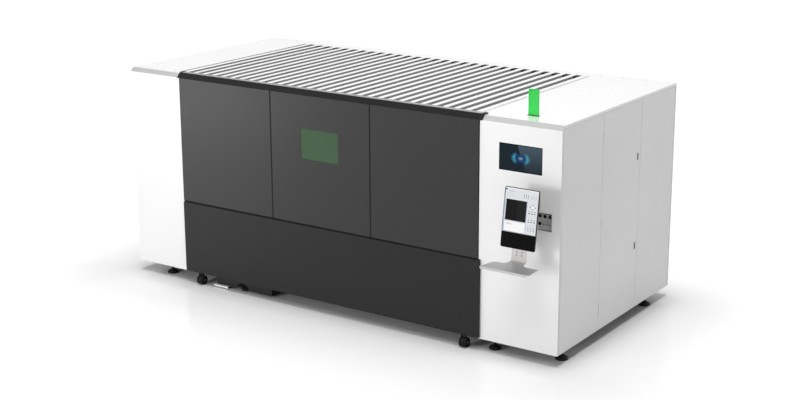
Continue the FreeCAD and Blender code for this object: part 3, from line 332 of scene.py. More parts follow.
# plastic, rubber or cast parts: fine grain and uneven gloss
def moulded(name, color, roughness, grain=700, metallic=0.0, gloss=0.0, specular=0.5, uneven=0.07):
    made, tree, shader = blank(name)
    give(tree, shader, {
        "Base Color": drifting(tree, noise(tree, 22, 3), color, darker=0.88, lighter=1.1),
        "Roughness": ranged(tree, noise(tree, 60, 4), roughness - uneven, roughness + uneven),
        "Metallic": metallic,
        "Specular IOR Level": specular,
        "Coat Weight": gloss,
        "Coat Roughness": 0.05,
    })
    bumpy(tree, shader, noise(tree, grain, 2), depth=0.0001, strength=0.4)
    return made


def tintedGlass(name, color, clear, glow=0.0, ior=1.49, specular=0.5):
    made, tree, shader = blank(name)
    shown = drifting(tree, noise(tree, 3, 2), color, darker=0.94, lighter=1.05)
    give(tree, shader, {
        "Base Color": shown,
        "Roughness": ranged(tree, noise(tree, 8, 4), 0.04, 0.1),
        "Transmission Weight": clear,
        "IOR": ior,
        "Specular IOR Level": specular,
    })
    if glow:
        give(tree, shader, {"Emission Color": shown, "Emission Strength": glow})
    return made


# makes a colour shine from under the dark glass of a screen
def lightUp(tree, shader, shown, level, specular):
    give(tree, shader, {
        "Base Color": (0.002, 0.002, 0.002, 1),
        "Roughness": 0.2,
        "Specular IOR Level": specular,
        "Emission Color": shown,
        "Emission Strength": level,
    })


# one lit field on a screen
def lit(name, color):
    made, tree, shader = blank(name)
    shown = drifting(tree, noise(tree, 900, 1), color, darker=0.96, lighter=1.03)
    lightUp(tree, shader, shown, 1.0, specular=0.05)
    return made


whiteColor, whiteWorn = (0.88, 0.885, 0.88), (0.66, 0.67, 0.67)
finish = {
    "white": powderCoat("whiteCoat", whiteColor, whiteWorn, 0.36, gloss=0.4),
    "roof": powderCoat("roofCoat", whiteColor, whiteWorn, 0.3, gloss=1.0, glossRoughness=0.03, peel=120),
    # painted shade: a grey coat for the ribbed roof's flanks and valleys
    "shadedFlank": powderCoat("shadedFlankCoat", (0.27, 0.27, 0.272), (0.36, 0.36, 0.36), 0.45),
    # painted light: a paler grey for the header's upward faces
    "lip": powderCoat("lipCoat", (0.28, 0.28, 0.28), (0.34, 0.34, 0.34), 0.42),
    # painted shade: a grey coat for the slanted strip of the front covers
    "chamferShade": powderCoat("chamferShadeCoat", (0.44, 0.445, 0.44), (0.42, 0.42, 0.42), 0.4),
    "charcoal": powderCoat("charcoalCoat", (0.027, 0.027, 0.028), (0.07, 0.07, 0.07), 0.33, specular=0.28,
                           uneven=0.01),
    "header": powderCoat("headerCoat", (0.011, 0.011, 0.012), (0.04, 0.04, 0.04), 0.42, specular=0.12),
    "skirt": powderCoat("skirtCoat", (0.014, 0.014, 0.015), (0.045, 0.045, 0.045), 0.42, specular=0.23),
    "grey": powderCoat("greyCoat", (0.1, 0.105, 0.11), (0.2, 0.2, 0.2), 0.4),
    "frame": powderCoat("frameEnamel", (0.42, 0.44, 0.46), (0.25, 0.25, 0.25), 0.38, peel=120),
    "ground": brushed("groundSteel", (0.56, 0.56, 0.56), 0.26, (3, 240, 240)),
    "plate": brushed("brushedPlate", (0.42, 0.42, 0.42), 0.36, (6, 700, 700)),
    "tray": brushed("brushedTray", (0.47, 0.47, 0.47), 0.43, (4, 700, 700)),
    # painted light: lighter copies of the tray's steel for the neck and for the tray's front edge
    "neck": brushed("brushedNeckLit", (0.57, 0.56, 0.55), 0.4, (4, 700, 700), 0.06),
    "lipSteel": brushed("brushedTrayEdgeLit", (0.57, 0.57, 0.57), 0.42, (4, 700, 700), 0.04),
    "zinc": spangled("zincSheet", (0.55, 0.57, 0.59), 0.42),
    "aluminium": brushed("satinAluminium", (0.72, 0.73, 0.74), 0.34, (90, 90, 8), 0.05),
    "rubber": moulded("blackRubber", (0.01, 0.01, 0.01), 0.62, 420, specular=0.2),
    "plastic": moulded("blackPlastic", (0.014, 0.014, 0.015), 0.42, 900, specular=0.35),
    "glossBlack": moulded("glossBlack", (0.005, 0.005, 0.0052), 0.22, 300, specular=0.03),
    "buttonBlack": moulded("buttonBlack", (0.004, 0.004, 0.004), 0.3, 500, specular=0.1),
    "plateEdge": brushed("plateEdge", (0.17, 0.17, 0.17), 0.4, (6, 700, 700)),
    "nylon": moulded("greyNylon", (0.05, 0.05, 0.052), 0.4, 500),
    "whiteStrip": moulded("whiteStrip", (0.92, 0.92, 0.92), 0.3, 500),
    "glass": tintedGlass("laserGlass", (0.047, 0.108, 0.048), 0.12, specular=0.28),
    "beacon": tintedGlass("beaconLens", (0.07, 0.6, 0.12), 0.6, glow=0.1, ior=1.03),
    "beaconBase": moulded("beaconBase", (0.008, 0.09, 0.02), 0.4),
    "brass": moulded("turnedBrass", (0.7, 0.5, 0.2), 0.32, 600, metallic=1.0),
    "lampRed": moulded("lampRed", (0.02, 0.003, 0.003), 0.25, 300, gloss=0.2, specular=0.2),
    "blackSteel": moulded("blackSteel", (0.014, 0.014, 0.015), 0.4, 300, specular=0.3),
    "zincScrew": moulded("zincScrew", (0.45, 0.45, 0.46), 0.35, 900, metallic=1.0),
}
finishOfSlot = {
    "white_paint": "white", "charcoal_paint": "charcoal", "grey_paint": "grey", "frame_paint": "frame",
    "machined_steel": "ground", "stainless": "tray", "galvanised": "zinc", "aluminium": "aluminium",
    "black_rubber": "rubber", "black_plastic": "plastic", "grey_nylon": "nylon", "laser_glass": "glass",
    "screen_glass": "glossBlack", "beacon_green": "beacon", "lamp_red": "lampRed", "brass": "brass",
}
print("finishes ready")
makeStudio()
print("studio ready")


# mesh helpers

# a finished mesh as a piece of the object; smooth is the angle up to which its faces blend
def pieceOf(bm, name, body, slot, *materials, smooth=None):
    for face in bm.faces:
        face.smooth = smooth is not None
    if smooth is not None:
        for edge in bm.edges:
            edge.smooth = len(edge.link_faces) == 2 and edge.calc_face_angle(0) < math.radians(smooth)
    mesh = bpy.data.meshes.new(name)
    bm.to_mesh(mesh)
    bm.free()
    piece = bpy.data.objects.new(name, mesh)
    bpy.context.scene.collection.objects.link(piece)
    for material in materials:
        mesh.materials.append(material)
    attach(piece, body)
    return piece


# a merged copy of a CAD node's mesh, with its flat faces whole again
def meshOf(node):
    bm = bmesh.new()
    bm.from_mesh(nodes[node].data)
    for face in bm.faces:
        face.material_index = 0
    bmesh.ops.remove_doubles(bm, verts=bm.verts, dist=0.00002)
    bmesh.ops.dissolve_limit(bm, angle_limit=math.radians(1), verts=bm.verts, edges=bm.edges)
    return bm


def bevelled(bm, chosen, radius, segments=2, clamped=False):
    bmesh.ops.bevel(bm, geom=chosen, offset=radius, segments=segments, profile=0.5, affect="EDGES",
                    material=-1, clamp_overlap=clamped)


def uprightOf(bm):
    return [edge for edge in bm.edges if abs((edge.verts[0].co - edge.verts[1].co).z) > 1e-6]


def sharpOf(bm):
    return [edge for edge in bm.edges if edge.calc_face_angle(0) > math.radians(50)]


# a convex edge between two faces that are both wider than a sheet's own edge
def isFold(edge, narrow):
    if len(edge.link_faces) != 2 or not edge.is_convex or edge.calc_face_angle(0) < math.radians(20):
        return False
    length = max(edge.calc_length(), 1e-6)
    return min(face.calc_area() for face in edge.link_faces) / length > narrow


# stands for a CAD node: the same shape with its edges or folds rounded
def softened(node, radius, segments=2, narrow=0.0, materials=None, choose=None, slotName=None):
    bm = meshOf(node)
    if choose:
        for face in bm.faces:
            face.material_index = int(choose(face))
    bevelled(bm, [edge for edge in bm.edges if isFold(edge, narrow)], radius, segments, clamped=True)
    materials = materials or [finish[finishOfSlot[slotOf[node]]]]
    piece = pieceOf(bm, node + "_made", bodyOf[node], slotName or slotOf[node], *materials, smooth=40)
    piece.modifiers.new("evenShading", "WEIGHTED_NORMAL").keep_sharp = True
    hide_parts(node)


def middleOf(low, high):
    return (Vector(low) + Vector(high)) / 2


def boxAround(points):
    return (Vector([min(point[i] for point in points) for i in range(3)]),
            Vector([max(point[i] for point in points) for i in range(3)]))


# the boxes of a node's separate solids, from left to right
def solidsOf(node):
    bm = meshOf(node)
    left, found = set(bm.verts), []
    while left:
        group, waiting = [], [left.pop()]
        while waiting:
            vert = waiting.pop()
            group.append(vert.co.copy())
            near = {edge.other_vert(vert) for edge in vert.link_edges} & left
            left -= near
            waiting.extend(near)
        found.append(boxAround(group))
    bm.free()
    return sorted(found, key=lambda box: tuple(round(value, 4) for value in box[0]))


# adds a part to bm; with a direction, its own z axis is turned to point there and it moves to a place
def placed(bm, part, place=None, direction=None, material=None):
    bmesh.ops.recalc_face_normals(part, faces=part.faces)
    if direction:
        turn = Vector(direction).to_track_quat("Z", "Y").to_matrix().to_4x4()
        bmesh.ops.transform(part, matrix=Matrix.Translation(place) @ turn, verts=part.verts)
    if material is not None:
        for face in part.faces:
            face.material_index = material
    mesh = bpy.data.meshes.new("part")
    part.to_mesh(mesh)
    part.free()
    bm.from_mesh(mesh)
    bpy.data.meshes.remove(mesh)


# spins a profile of radius and height round its axis; ring joins the profile's ends
def turnedOn(bm, profile, place, direction=(0, 0, 1), steps=32, material=0, ring=False):
    part = bmesh.new()
    verts = [part.verts.new((radius, 0, height)) for radius, height in profile]
    lines = [part.edges.new(pair) for pair in zip(verts, verts[1:])]
    if ring:
        lines.append(part.edges.new((verts[-1], verts[0])))
    bmesh.ops.spin(part, geom=verts + lines, cent=(0, 0, 0), axis=(0, 0, 1), dvec=(0, 0, 0),
                   angle=math.tau, steps=steps, use_merge=True)
    bmesh.ops.remove_doubles(part, verts=part.verts, dist=0.000005)
    placed(bm, part, place, direction, material)


# a block between two corners, still to be shaped
def roughBlock(low, high):
    part = bmesh.new()
    bmesh.ops.create_cube(part, size=1)
    bmesh.ops.scale(part, vec=Vector(high) - Vector(low), verts=part.verts)
    bmesh.ops.translate(part, vec=middleOf(low, high), verts=part.verts)
    return part


# a bar or plate between two corners, with rounded edges; place turns and moves it
def blockIn(bm, low, high, rounding=0.0, segments=2, material=0, place=None, corner=0.0):
    part = roughBlock(low, high)
    if corner:
        bevelled(part, uprightOf(part), corner, 5)
    if rounding:
        bevelled(part, sharpOf(part), rounding, segments)
    if place:
        bmesh.ops.transform(part, matrix=place, verts=part.verts)
    placed(bm, part, material=material)


# a hexagon nut or bolt head with its chamfer, standing on a place
def hexOn(bm, acrossFlats, height, place, direction=(0, 0, 1), material=0):
    part = bmesh.new()
    radius = acrossFlats / math.sqrt(3)
    bmesh.ops.create_cone(part, cap_ends=True, segments=6, radius1=radius, radius2=radius, depth=height)
    rim = [edge for edge in part.edges if abs(edge.verts[0].co.z - edge.verts[1].co.z) < 1e-6]
    bevelled(part, rim, height * 0.12, 1)
    bmesh.ops.translate(part, vec=(0, 0, height / 2), verts=part.verts)
    placed(bm, part, place, direction, material)


# a button-head screw with a socket in it
def screwOn(bm, radius, place, direction):
    profile = ((0, 0.25), (0.42, 0.25), (0.48, 0.62), (0.72, 0.58), (0.93, 0.35), (1, 0.12), (1, -0.2))
    turnedOn(bm, [(r * radius, h * radius) for r, h in profile], place, direction, 14)


# covers and frame

folded = {
    "radius": 0.004,
    "thinRadius": 0.003,
    "sheetEdge": 0.006,
    "capDepth": 0.03,
    "capLap": 0.024,
    "capScale": 1.025,
}


# the slanted strip along the top of a front cover, which takes a grey coat as painted shade
def isChamfer(face):
    return 0.3 < face.normal.z < 0.95 and face.normal.y < -0.3


def makeCovers():
    radius, edge = folded["radius"], folded["sheetEdge"]
    for node in ("left_front_cover", "right_front_cover"):
        # painted shade: the slanted strip gets the grey coat instead of the white
        softened(node, radius, 2, edge, [finish["white"], finish["chamferShade"]], isChamfer)
    for node in ("right_side_front_panel", "right_side_rear_panel", "left_side_panels", "rear_covers",
                 "side_door", "front_panel_left", "front_panel_middle", "front_panel_right"):
        softened(node, radius, 2, edge)
    softened("roof_plates", radius, 2, edge, [finish["roof"]])
    print("covers folded")


# the black channel over the front: its upward faces are a paler grey as painted light from above, and a black
# cap on each end stands as painted shade for its open ends
def makeHeader():
    # painted light: the upward faces take the paler grey
    softened("front_header", folded["thinRadius"], 2, 0.0, [finish["header"], finish["lip"]],
             lambda face: face.normal.z > 0.9)
    # painted shade: black caps over the channel's open ends, which lie in shade
    bm = meshOf("front_header")
    ends = [face for face in bm.faces if abs(face.normal.x) > 0.99]
    bmesh.ops.delete(bm, geom=[face for face in bm.faces if face not in ends], context="FACES")
    bmesh.ops.scale(bm, vec=(1, folded["capScale"], folded["capScale"]), verts=bm.verts,
                    space=Matrix.Translation(-middleOf(*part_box("front_header"))))
    for face in list(bm.faces):
        out = math.copysign(1, face.normal.x)
        bmesh.ops.translate(bm, vec=(-out * folded["capLap"], 0, 0), verts=face.verts)
        cap = bmesh.ops.extrude_face_region(bm, geom=[face])["geom"]
        bmesh.ops.translate(bm, vec=(out * folded["capDepth"], 0, 0),
                            verts=[item for item in cap if isinstance(item, bmesh.types.BMVert)])
    pieceOf(bm, "header_caps", "housing", "black_rubber", finish["rubber"])
    print("header made")


def makeLowerFront():
    softened("drawer_front", folded["radius"], 2, folded["sheetEdge"], [finish["skirt"]])
    softened("front_plinth", folded["thinRadius"], 2, folded["sheetEdge"], [finish["skirt"]])
    print("lower front folded")


ribbed = {
    "radius": 0.0015,
    "topBand": 0.006,
    "valley": 0.02,
    "shadeBlockDepth": 0.075,
    "shadeBlockLift": 0.003,
    "shadeBlockGap": 0.0005,
    "shadeBlockRound": 0.001,
}


# ridges with pale tops; their flanks and valleys take a grey coat as painted shade, all but the last valley,
# and black blocks fill the valleys' rear ends as painted shade
def makeRibbedRoof():
    def isTop(face):
        return face.normal.z > 0.9 and face.calc_center_median().z > roofLevel - ribbed["topBand"]

    bm = meshOf("ribbed_roof")
    spans = sorted((min(vert.co.x for vert in face.verts), max(vert.co.x for vert in face.verts))
                   for face in bm.faces if isTop(face))
    bm.free()
    # painted shade: every face but the ridge tops, up to the last ridge, gets the grey coat
    softened("ribbed_roof", ribbed["radius"], 1, folded["sheetEdge"], [finish["roof"], finish["shadedFlank"]],
             lambda face: not isTop(face) and face.calc_center_median().x < spans[-1][1])
    low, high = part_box("ribbed_roof")
    # painted shade: a black block in the rear end of each valley
    bm = bmesh.new()
    gap = ribbed["shadeBlockGap"]
    for start, end in ((one[1], two[0]) for one, two in zip(spans, spans[1:])):
        if end - start > ribbed["valley"]:
            blockIn(bm, (start + gap, high.y - ribbed["shadeBlockDepth"], low.z + ribbed["shadeBlockLift"]),
                    (end - gap, high.y - gap, high.z - gap), ribbed["shadeBlockRound"], 1)
    pieceOf(bm, "ridge_closures", "housing", "black_rubber", finish["rubber"])
    print("ribbed roof made,", len(spans), "ridges")


coverScrew = {
    "radius": 0.0055,
    "fromRoofEdge": 0.055,
    "acrossRoof": 4,
    "fromCoverEdge": 0.045,
}


# rows of screws that hold the roof plates and the rear covers
def makeCoverScrews():
    bm = bmesh.new()
    low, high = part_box("roof_plates")
    inner, edge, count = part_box("ribbed_roof"), coverScrew["fromRoofEdge"], coverScrew["acrossRoof"]
    for start, end in ((low.x + edge, inner[0].x - edge), (inner[1].x + edge, high.x - edge)):
        for y in (low.y + edge, high.y - edge):
            for i in range(count):
                x = start + (end - start) * i / (count - 1)
                screwOn(bm, coverScrew["radius"], (x, y, high.z), (0, 0, 1))
    edge = coverScrew["fromCoverEdge"]
    for low, high in solidsOf("rear_covers"):
        for x in (low.x + edge, high.x - edge):
            for z in (low.z + edge, (low.z + high.z) / 2, high.z - edge):
                screwOn(bm, coverScrew["radius"], (x, high.y, z), (0, 1, 0))
    pieceOf(bm, "cover_screws", "housing", "machined_steel", finish["zincScrew"], smooth=35)
    print("cover screws set")


seam = {"width": 0.016, "rise": 0.001, "rounding": 0.0004}


# black edging over the upright seams between the front panels
def makeSeams():
    panels = [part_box("front_panel_" + side) for side in ("left", "middle", "right")]
    half, rise = seam["width"] / 2, seam["rise"]
    bm = bmesh.new()
    for one, two in zip(panels, panels[1:]):
        x = (one[1].x + two[0].x) / 2
        blockIn(bm, (x - half, one[0].y - rise, one[0].z), (x + half, one[0].y + rise, one[1].z),
                seam["rounding"], 1)
    pieceOf(bm, "seam_edging", "housing", "black_rubber", finish["rubber"])
    print("seams edged")


innerFrame = {"tubeRadius": 0.006, "tubeEdge": 0.02, "fittingRadius": 0.002, "fittingEdge": 0.008}


def makeFrame():
    for node in ("base_frame", "upper_frame", "rail_beams", "table_frame", "gantry_beam"):
        softened(node, innerFrame["tubeRadius"], 2, innerFrame["tubeEdge"])
    for node in ("guide_rails", "drawer_rails", "gantry_carriages", "gantry_drives", "head_carriage",
                 "cutting_head", "slag_tray"):
        softened(node, innerFrame["fittingRadius"], 2, innerFrame["fittingEdge"])
    print("frame welded")


makeCovers()
makeHeader()
makeLowerFront()
makeRibbedRoof()
makeCoverScrews()
makeSeams()
makeFrame()


# feet, casters and plinth strip

foot = {
    "padRadius": 0.0575,
    "padWall": 0.018,
    "dome": [(0.0535, 0.023), (0.038, 0.03), (0.026, 0.038), (0.018, 0.044)],
    "stemRadius": 0.01,
    "stemFrom": 0.046,
    "thread": 0.0035,
    "threadDepth": 0.0012,
    "nut": 0.03,
    "nutHeight": 0.014,
    "nutLevel": 0.06,
}


def makeFeet():
    bm = bmesh.new()
    pad, stem, start, pitch = foot["padRadius"], foot["stemRadius"], foot["stemFrom"], foot["thread"]
    root = stem - foot["threadDepth"]
    rubberPad = [(0, 0), (pad - 0.002, 0), (pad, 0.002), (pad, foot["padWall"])]
    rubberPad += foot["dome"] + [(stem, start), (0, start)]
    for low, high in solidsOf("levelling_feet"):
        place = middleOf(low, high)
        place.z = low.z
        turnedOn(bm, rubberPad, place, steps=40)
        top = high.z - 0.0005
        thread = [(0, start - 0.002)]
        for i in range(int((high.z - start) / pitch)):
            thread += [(root, start + i * pitch), (stem, start + (i + 0.5) * pitch)]
        turnedOn(bm, thread + [(root, top), (0, top)], place, steps=20, material=1)
        hexOn(bm, foot["nut"], foot["nutHeight"], place + Vector((0, 0, foot["nutLevel"])), material=1)
    made = pieceOf(bm, "feet_made", "housing", "black_rubber", finish["rubber"], finish["blackSteel"],
                   smooth=40)
    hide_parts("levelling_feet")
    print("feet turned")


caster = {
    "hubRadius": 0.029,
    "forkOutside": 0.0225,
    "outerWidth": 0.015,
    "axleBore": 0.0075,
    "axleRadius": 0.005,
    "boltHead": 0.013,
    "boltHeight": 0.005,
    "boltSunk": 0.0025,
}


# a wheel in its fork, and a disc on the same axle outside each of the fork's cheeks
def makeWheel(node, body):
    low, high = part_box(node)
    place, half, outer = middleOf(low, high), (high.x - low.x) / 2, (high.z - low.z) / 2
    hub, bore = caster["hubRadius"], caster["axleBore"]
    start, end = caster["forkOutside"], caster["forkOutside"] + caster["outerWidth"]
    bm = bmesh.new()
    tyre = [(hub, half - 0.004), (hub + 0.002, half - 0.001), (outer - 0.007, half),
            (outer - 0.001, half - 0.006)]
    tyre += [(outer, 0.004), (outer, -0.004)] + [(r, -h) for r, h in reversed(tyre)]
    turnedOn(bm, tyre, place, (1, 0, 0), 48, 0, ring=True)
    web = [(bore, half - 0.001), (0.013, half - 0.001), (0.015, half - 0.007), (hub - 0.004, half - 0.007),
           (hub - 0.002, half - 0.004), (hub, half - 0.0041)]
    turnedOn(bm, web + [(r, -h) for r, h in reversed(web)], place, (1, 0, 0), 40, 1, ring=True)
    disc = [(bore, start), (bore, end - 0.003), (0.018, end - 0.003), (0.022, end - 0.007),
            (outer - 0.016, end - 0.007), (outer - 0.013, end - 0.001), (outer - 0.007, end),
            (outer - 0.002, end - 0.004), (outer - 0.001, start + 0.003), (outer - 0.004, start)]
    for side in (1, -1):
        turnedOn(bm, disc, place, (side, 0, 0), 48, 0, ring=True)
    wheel = pieceOf(bm, node + "_made", body, "black_rubber", finish["rubber"], finish["nylon"], smooth=40)
    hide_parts(node)


def makeCasters():
    makeWheel("caster_wheel_left", "left_wheel")
    makeWheel("caster_wheel_right", "right_wheel")
    softened("caster_forks", 0.0015, 2, 0.002, [finish["rubber"]], slotName="black_plastic")
    bm = bmesh.new()
    centre = middleOf(*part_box("caster_wheel_left"))
    reach, radius = caster["forkOutside"] + caster["outerWidth"] - caster["boltSunk"], caster["axleRadius"]
    for low, high in solidsOf("caster_forks"):
        start, end = (low.x + high.x) / 2 - reach, (low.x + high.x) / 2 + reach
        for x, side in ((start, -1), (end, 1)):
            hexOn(bm, caster["boltHead"], caster["boltHeight"], (x, centre.y, centre.z), (side, 0, 0))
        turnedOn(bm, [(0, start), (radius, start), (radius, end), (0, end)], (0, centre.y, centre.z),
                 (1, 0, 0), 16)
    pieceOf(bm, "caster_axles", "table", "machined_steel", finish["zincScrew"], smooth=40)
    print("casters made")


plinthStrip = {"cap": 0.007, "rounding": 0.0015}


def makePlinthStrip():
    low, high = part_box("plinth_strip")
    bm = bmesh.new()
    joint = high.x - plinthStrip["cap"]
    blockIn(bm, low, (joint, high.y, high.z), plinthStrip["rounding"], 2, 0)
    blockIn(bm, (joint, low.y, low.z), high, plinthStrip["rounding"], 2, 1)
    strip = pieceOf(bm, "plinth_strip_made", "housing", "aluminium", finish["whiteStrip"], finish["rubber"])
    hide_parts("plinth_strip")
    print("plinth strip made")


makeFeet()
makeCasters()
makePlinthStrip()


# beacon, built-in display, window and buttons

beacon = {"lensRound": 0.003, "baseRound": 0.002}


def makeBeacon():
    low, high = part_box("beacon_lens")
    bm = bmesh.new()
    blockIn(bm, low, high, beacon["lensRound"], 3)
    lens = pieceOf(bm, "beacon_lens_made", "housing", "beacon_green", finish["beacon"], smooth=60)
    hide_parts("beacon_lens")
    low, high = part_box("beacon_base")
    bm = bmesh.new()
    blockIn(bm, low, high, beacon["baseRound"], 2)
    base = pieceOf(bm, "beacon_base_made", "housing", "black_plastic", finish["beaconBase"], smooth=60)
    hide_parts("beacon_base")
    print("beacon made")


display = {
    "border": 0.0135,
    "frameInset": 0.0064,
    "caseBelow": 0.002,
    "glassBelow": 0.0008,
    "night": (0.011, 0.019, 0.028),
    "beam": (0.065, 0.098, 0.13),
    "beamEdge": 0.008,
    "beamSlope": 0.37,
    "beamReach": 0.12,
    "glow": (0.004, 0.06, 0.22),
    "glowSpread": (0.105, 0.2, 0.068),
    "core": (0.3, 0.36, 0.3),
    "arcs": (0.055, 0.36, 0.5),
    "arcsFrom": 0.034,
    "arcsTo": 0.062,
    "brightness": 0.9,
}


# a dark picture: a blue glow between two bright arcs, and a paler beam down the right
def glowingPicture(name, middle):
    made, tree, shader = blank(name)
    spread = display["glowSpread"]
    ball = tree.nodes.new("ShaderNodeTexGradient")
    ball.gradient_type = "SPHERICAL"
    where = position(tree, tuple(1 / part for part in spread),
                     shift=tuple(-place / part for place, part in zip(middle, spread)))
    give(tree, ball, {"Vector": where})
    split = tree.nodes.new("ShaderNodeSeparateXYZ")
    give(tree, split, {"Vector": position(tree, shift=tuple(-place for place in middle))})
    across, up, level = split.outputs["X"], split.outputs["Z"], ball.outputs["Fac"]

    slant = calculated(tree, across, calculated(tree, up, display["beamSlope"]), "ADD")
    edge, reach = display["beamEdge"], display["beamReach"]
    beam = calculated(tree, ranged(tree, slant, 0, 1, edge, edge + 0.004),
                      ranged(tree, up, 0.1, 1, -reach, reach))
    shown = mixed(tree, beam, display["night"], display["beam"])
    shown = mixed(tree, ranged(tree, level, 0, 0.9, 0.28, 0.7, smooth=True), shown, display["glow"])
    shown = mixed(tree, ranged(tree, level, 0, 0.8, 0.72, 0.95, smooth=True), shown, display["core"])
    ring = calculated(tree, ranged(tree, level, 0, 1, 0.02, 0.4, smooth=True),
                      ranged(tree, level, 1, 0, 0.41, 0.56, smooth=True))
    aside = calculated(tree, across, 0, "ABSOLUTE")
    arcs = calculated(tree, ring, ranged(tree, aside, 0, 0.8, display["arcsFrom"], display["arcsTo"],
                                         smooth=True))
    shown = mixed(tree, arcs, shown, display["arcs"])
    lightUp(tree, shader, shown, display["brightness"], specular=0.04)
    return made


# a frame for the flat front of a piece on the white wall: x across, y up and z towards the viewer
def facing(centre):
    return Matrix.Translation(centre) @ Matrix.Rotation(math.radians(90), 4, "X")


def makeDisplay():
    low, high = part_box("display_panel")
    middle = middleOf(low, high)
    middle.y = low.y
    place = facing(middle)
    width, height = (high.x - low.x) / 2, (high.z - low.z) / 2
    rim, inset, case, glass = (display[key] for key in ("border", "frameInset", "caseBelow", "glassBelow"))
    bm = bmesh.new()
    blockIn(bm, (-width, -height, low.y - high.y), (width, height, -case), 0.0008, 2, 0, place)
    blockIn(bm, (inset - width, inset - height, -case - 0.0005), (width - inset, height - inset, -glass),
            0.0004, 1, 0, place)
    blockIn(bm, (rim - width, rim - height, -glass - 0.0004), (width - rim, height - rim, 0), 0.0003, 1, 1,
            place)
    panel = pieceOf(bm, "display_made", "housing", "screen_glass", finish["glossBlack"],
                    glowingPicture("displayPicture", middle))
    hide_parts("display_panel")
    print("display made")


window = {"corner": 0.006, "edge": 0.0006}


def makeWindow():
    low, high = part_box("window_pane")
    half = (high - low) / 2
    bm = bmesh.new()
    blockIn(bm, (-half.x, -half.z, -half.y), (half.x, half.z, half.y), window["edge"], 1, 0,
            facing(middleOf(low, high)), corner=window["corner"])
    pane = pieceOf(bm, "window_pane_made", "housing", "laser_glass", finish["glass"], smooth=40)
    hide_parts("window_pane")
    print("window glazed")


button = {
    "play": 0.0006,
    "bezel": 0.0038,
    "bezelHeight": 0.0022,
    "sunk": 0.0002,
    "edgeHeight": 0.009,
    "edgeRise": 0.002,
}


def makeButtonPlate():
    softened("button_plate", 0.0006, 1, 0.0, [finish["plate"]])
    low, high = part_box("button_plate")
    tall, rise = button["edgeHeight"], button["edgeRise"]
    bm = bmesh.new()
    for z in (low.z, high.z - tall):
        blockIn(bm, (low.x, low.y - rise, z), (high.x, low.y + 0.0005, z + tall), 0.0005, 2)
    pieceOf(bm, "plate_edges", "housing", "stainless", finish["plateEdge"], smooth=40)
    print("button plate made")


# caps that ride on their own bodies; their rims and the small lamps stay on the plate
def makeButtons():
    front, face, sunk = (0, -1, 0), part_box("button_plate")[0].y, button["sunk"]
    rims = bmesh.new()
    for i in range(1, 5):
        node = "push_button_%d" % i
        low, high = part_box(node)
        centre, radius, proud = middleOf(low, high), (high.x - low.x) / 2, high.y - low.y
        inner, outer, rise = radius + button["play"], radius + button["bezel"], button["bezelHeight"]
        rim = [(inner, -sunk), (inner, rise - 0.0006), (inner + 0.0006, rise), (outer - 0.001, rise),
               (outer, rise * 0.4), (outer, -sunk)]
        turnedOn(rims, rim, (centre.x, face, centre.z), front, 40, ring=True)
        cap = [(0, 0), (radius, 0), (radius, proud - 0.003), (radius - 0.0006, proud - 0.0016),
               (radius - 0.0022, proud - 0.0004), (radius - 0.0036, proud),
               (radius * 0.55, proud - 0.0007), (0, proud - 0.0011)]
        bm = bmesh.new()
        turnedOn(bm, cap, (centre.x, high.y, centre.z), front, 40)
        made = pieceOf(bm, node + "_made", bodyOf[node], "black_plastic", finish["buttonBlack"], smooth=35)
        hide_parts(node)
    for low, high in solidsOf("indicator_lamps"):
        centre, radius = middleOf(low, high), (high.x - low.x) / 2
        place = (centre.x, high.y, centre.z)
        rim = [(radius - 0.0015, -sunk), (radius - 0.0015, 0.0016), (radius - 0.0008, 0.002),
               (radius, 0.0012), (radius, -sunk)]
        turnedOn(rims, rim, place, front, 24, ring=True)
        lens = [(0, 0), (radius - 0.0016, 0), (radius - 0.0018, 0.0018), (radius * 0.45, 0.0028), (0, 0.003)]
        turnedOn(rims, lens, place, front, 24, 1)
    made = pieceOf(rims, "button_rims", "housing", "black_plastic", finish["buttonBlack"], finish["lampRed"],
                   smooth=35)
    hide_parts("indicator_lamps")
    print("buttons made")


makeBeacon()
makeDisplay()
makeWindow()
makeButtonPlate()
makeButtons()


# console: monitor, its bracket and tray, and the arm on the wall

console = {
    "lean": 8.3,
    "corner": 0.015,
    "rimRound": 0.0025,
    "rimDepth": 0.012,
    "backLip": 0.004,
    "backInset": 0.042,
    "bezel": 0.0065,
    "recess": 0.0008,
    "vents": 9,
    "ventPitch": 0.025,
    "ventHalf": 0.008,
    "ventRows": (0.11, 0.119),
    "fieldHeight": 0.0003,
    "armRound": 0.002,
    "armEdge": 0.004,
    "trayRise": 0.038,
    "trayLip": 0.018,
    "neckFront": 0.252,
    "neckLevel": 0.996,
    "neckScrews": ((-0.025, 0.0850), (0.025, 0.0850), (-0.025, 0.0575), (0.025, 0.0575)),
    "screwRadius": 0.0055,
}
screenTones = {
    "pale": (0.74, 0.755, 0.785),
    "white": (0.93, 0.93, 0.93),
    "canvas": (0.008, 0.008, 0.0085),
    "canvasBeam": (0.022, 0.022, 0.023),
    "blue": (0.02, 0.07, 0.3),
    "strip": (0.5, 0.56, 0.72),
    "grey": (0.33, 0.34, 0.37),
    "faint": (0.62, 0.65, 0.7),
    "dark": (0.05, 0.05, 0.06),
    "warm": (0.75, 0.3, 0.16),
}


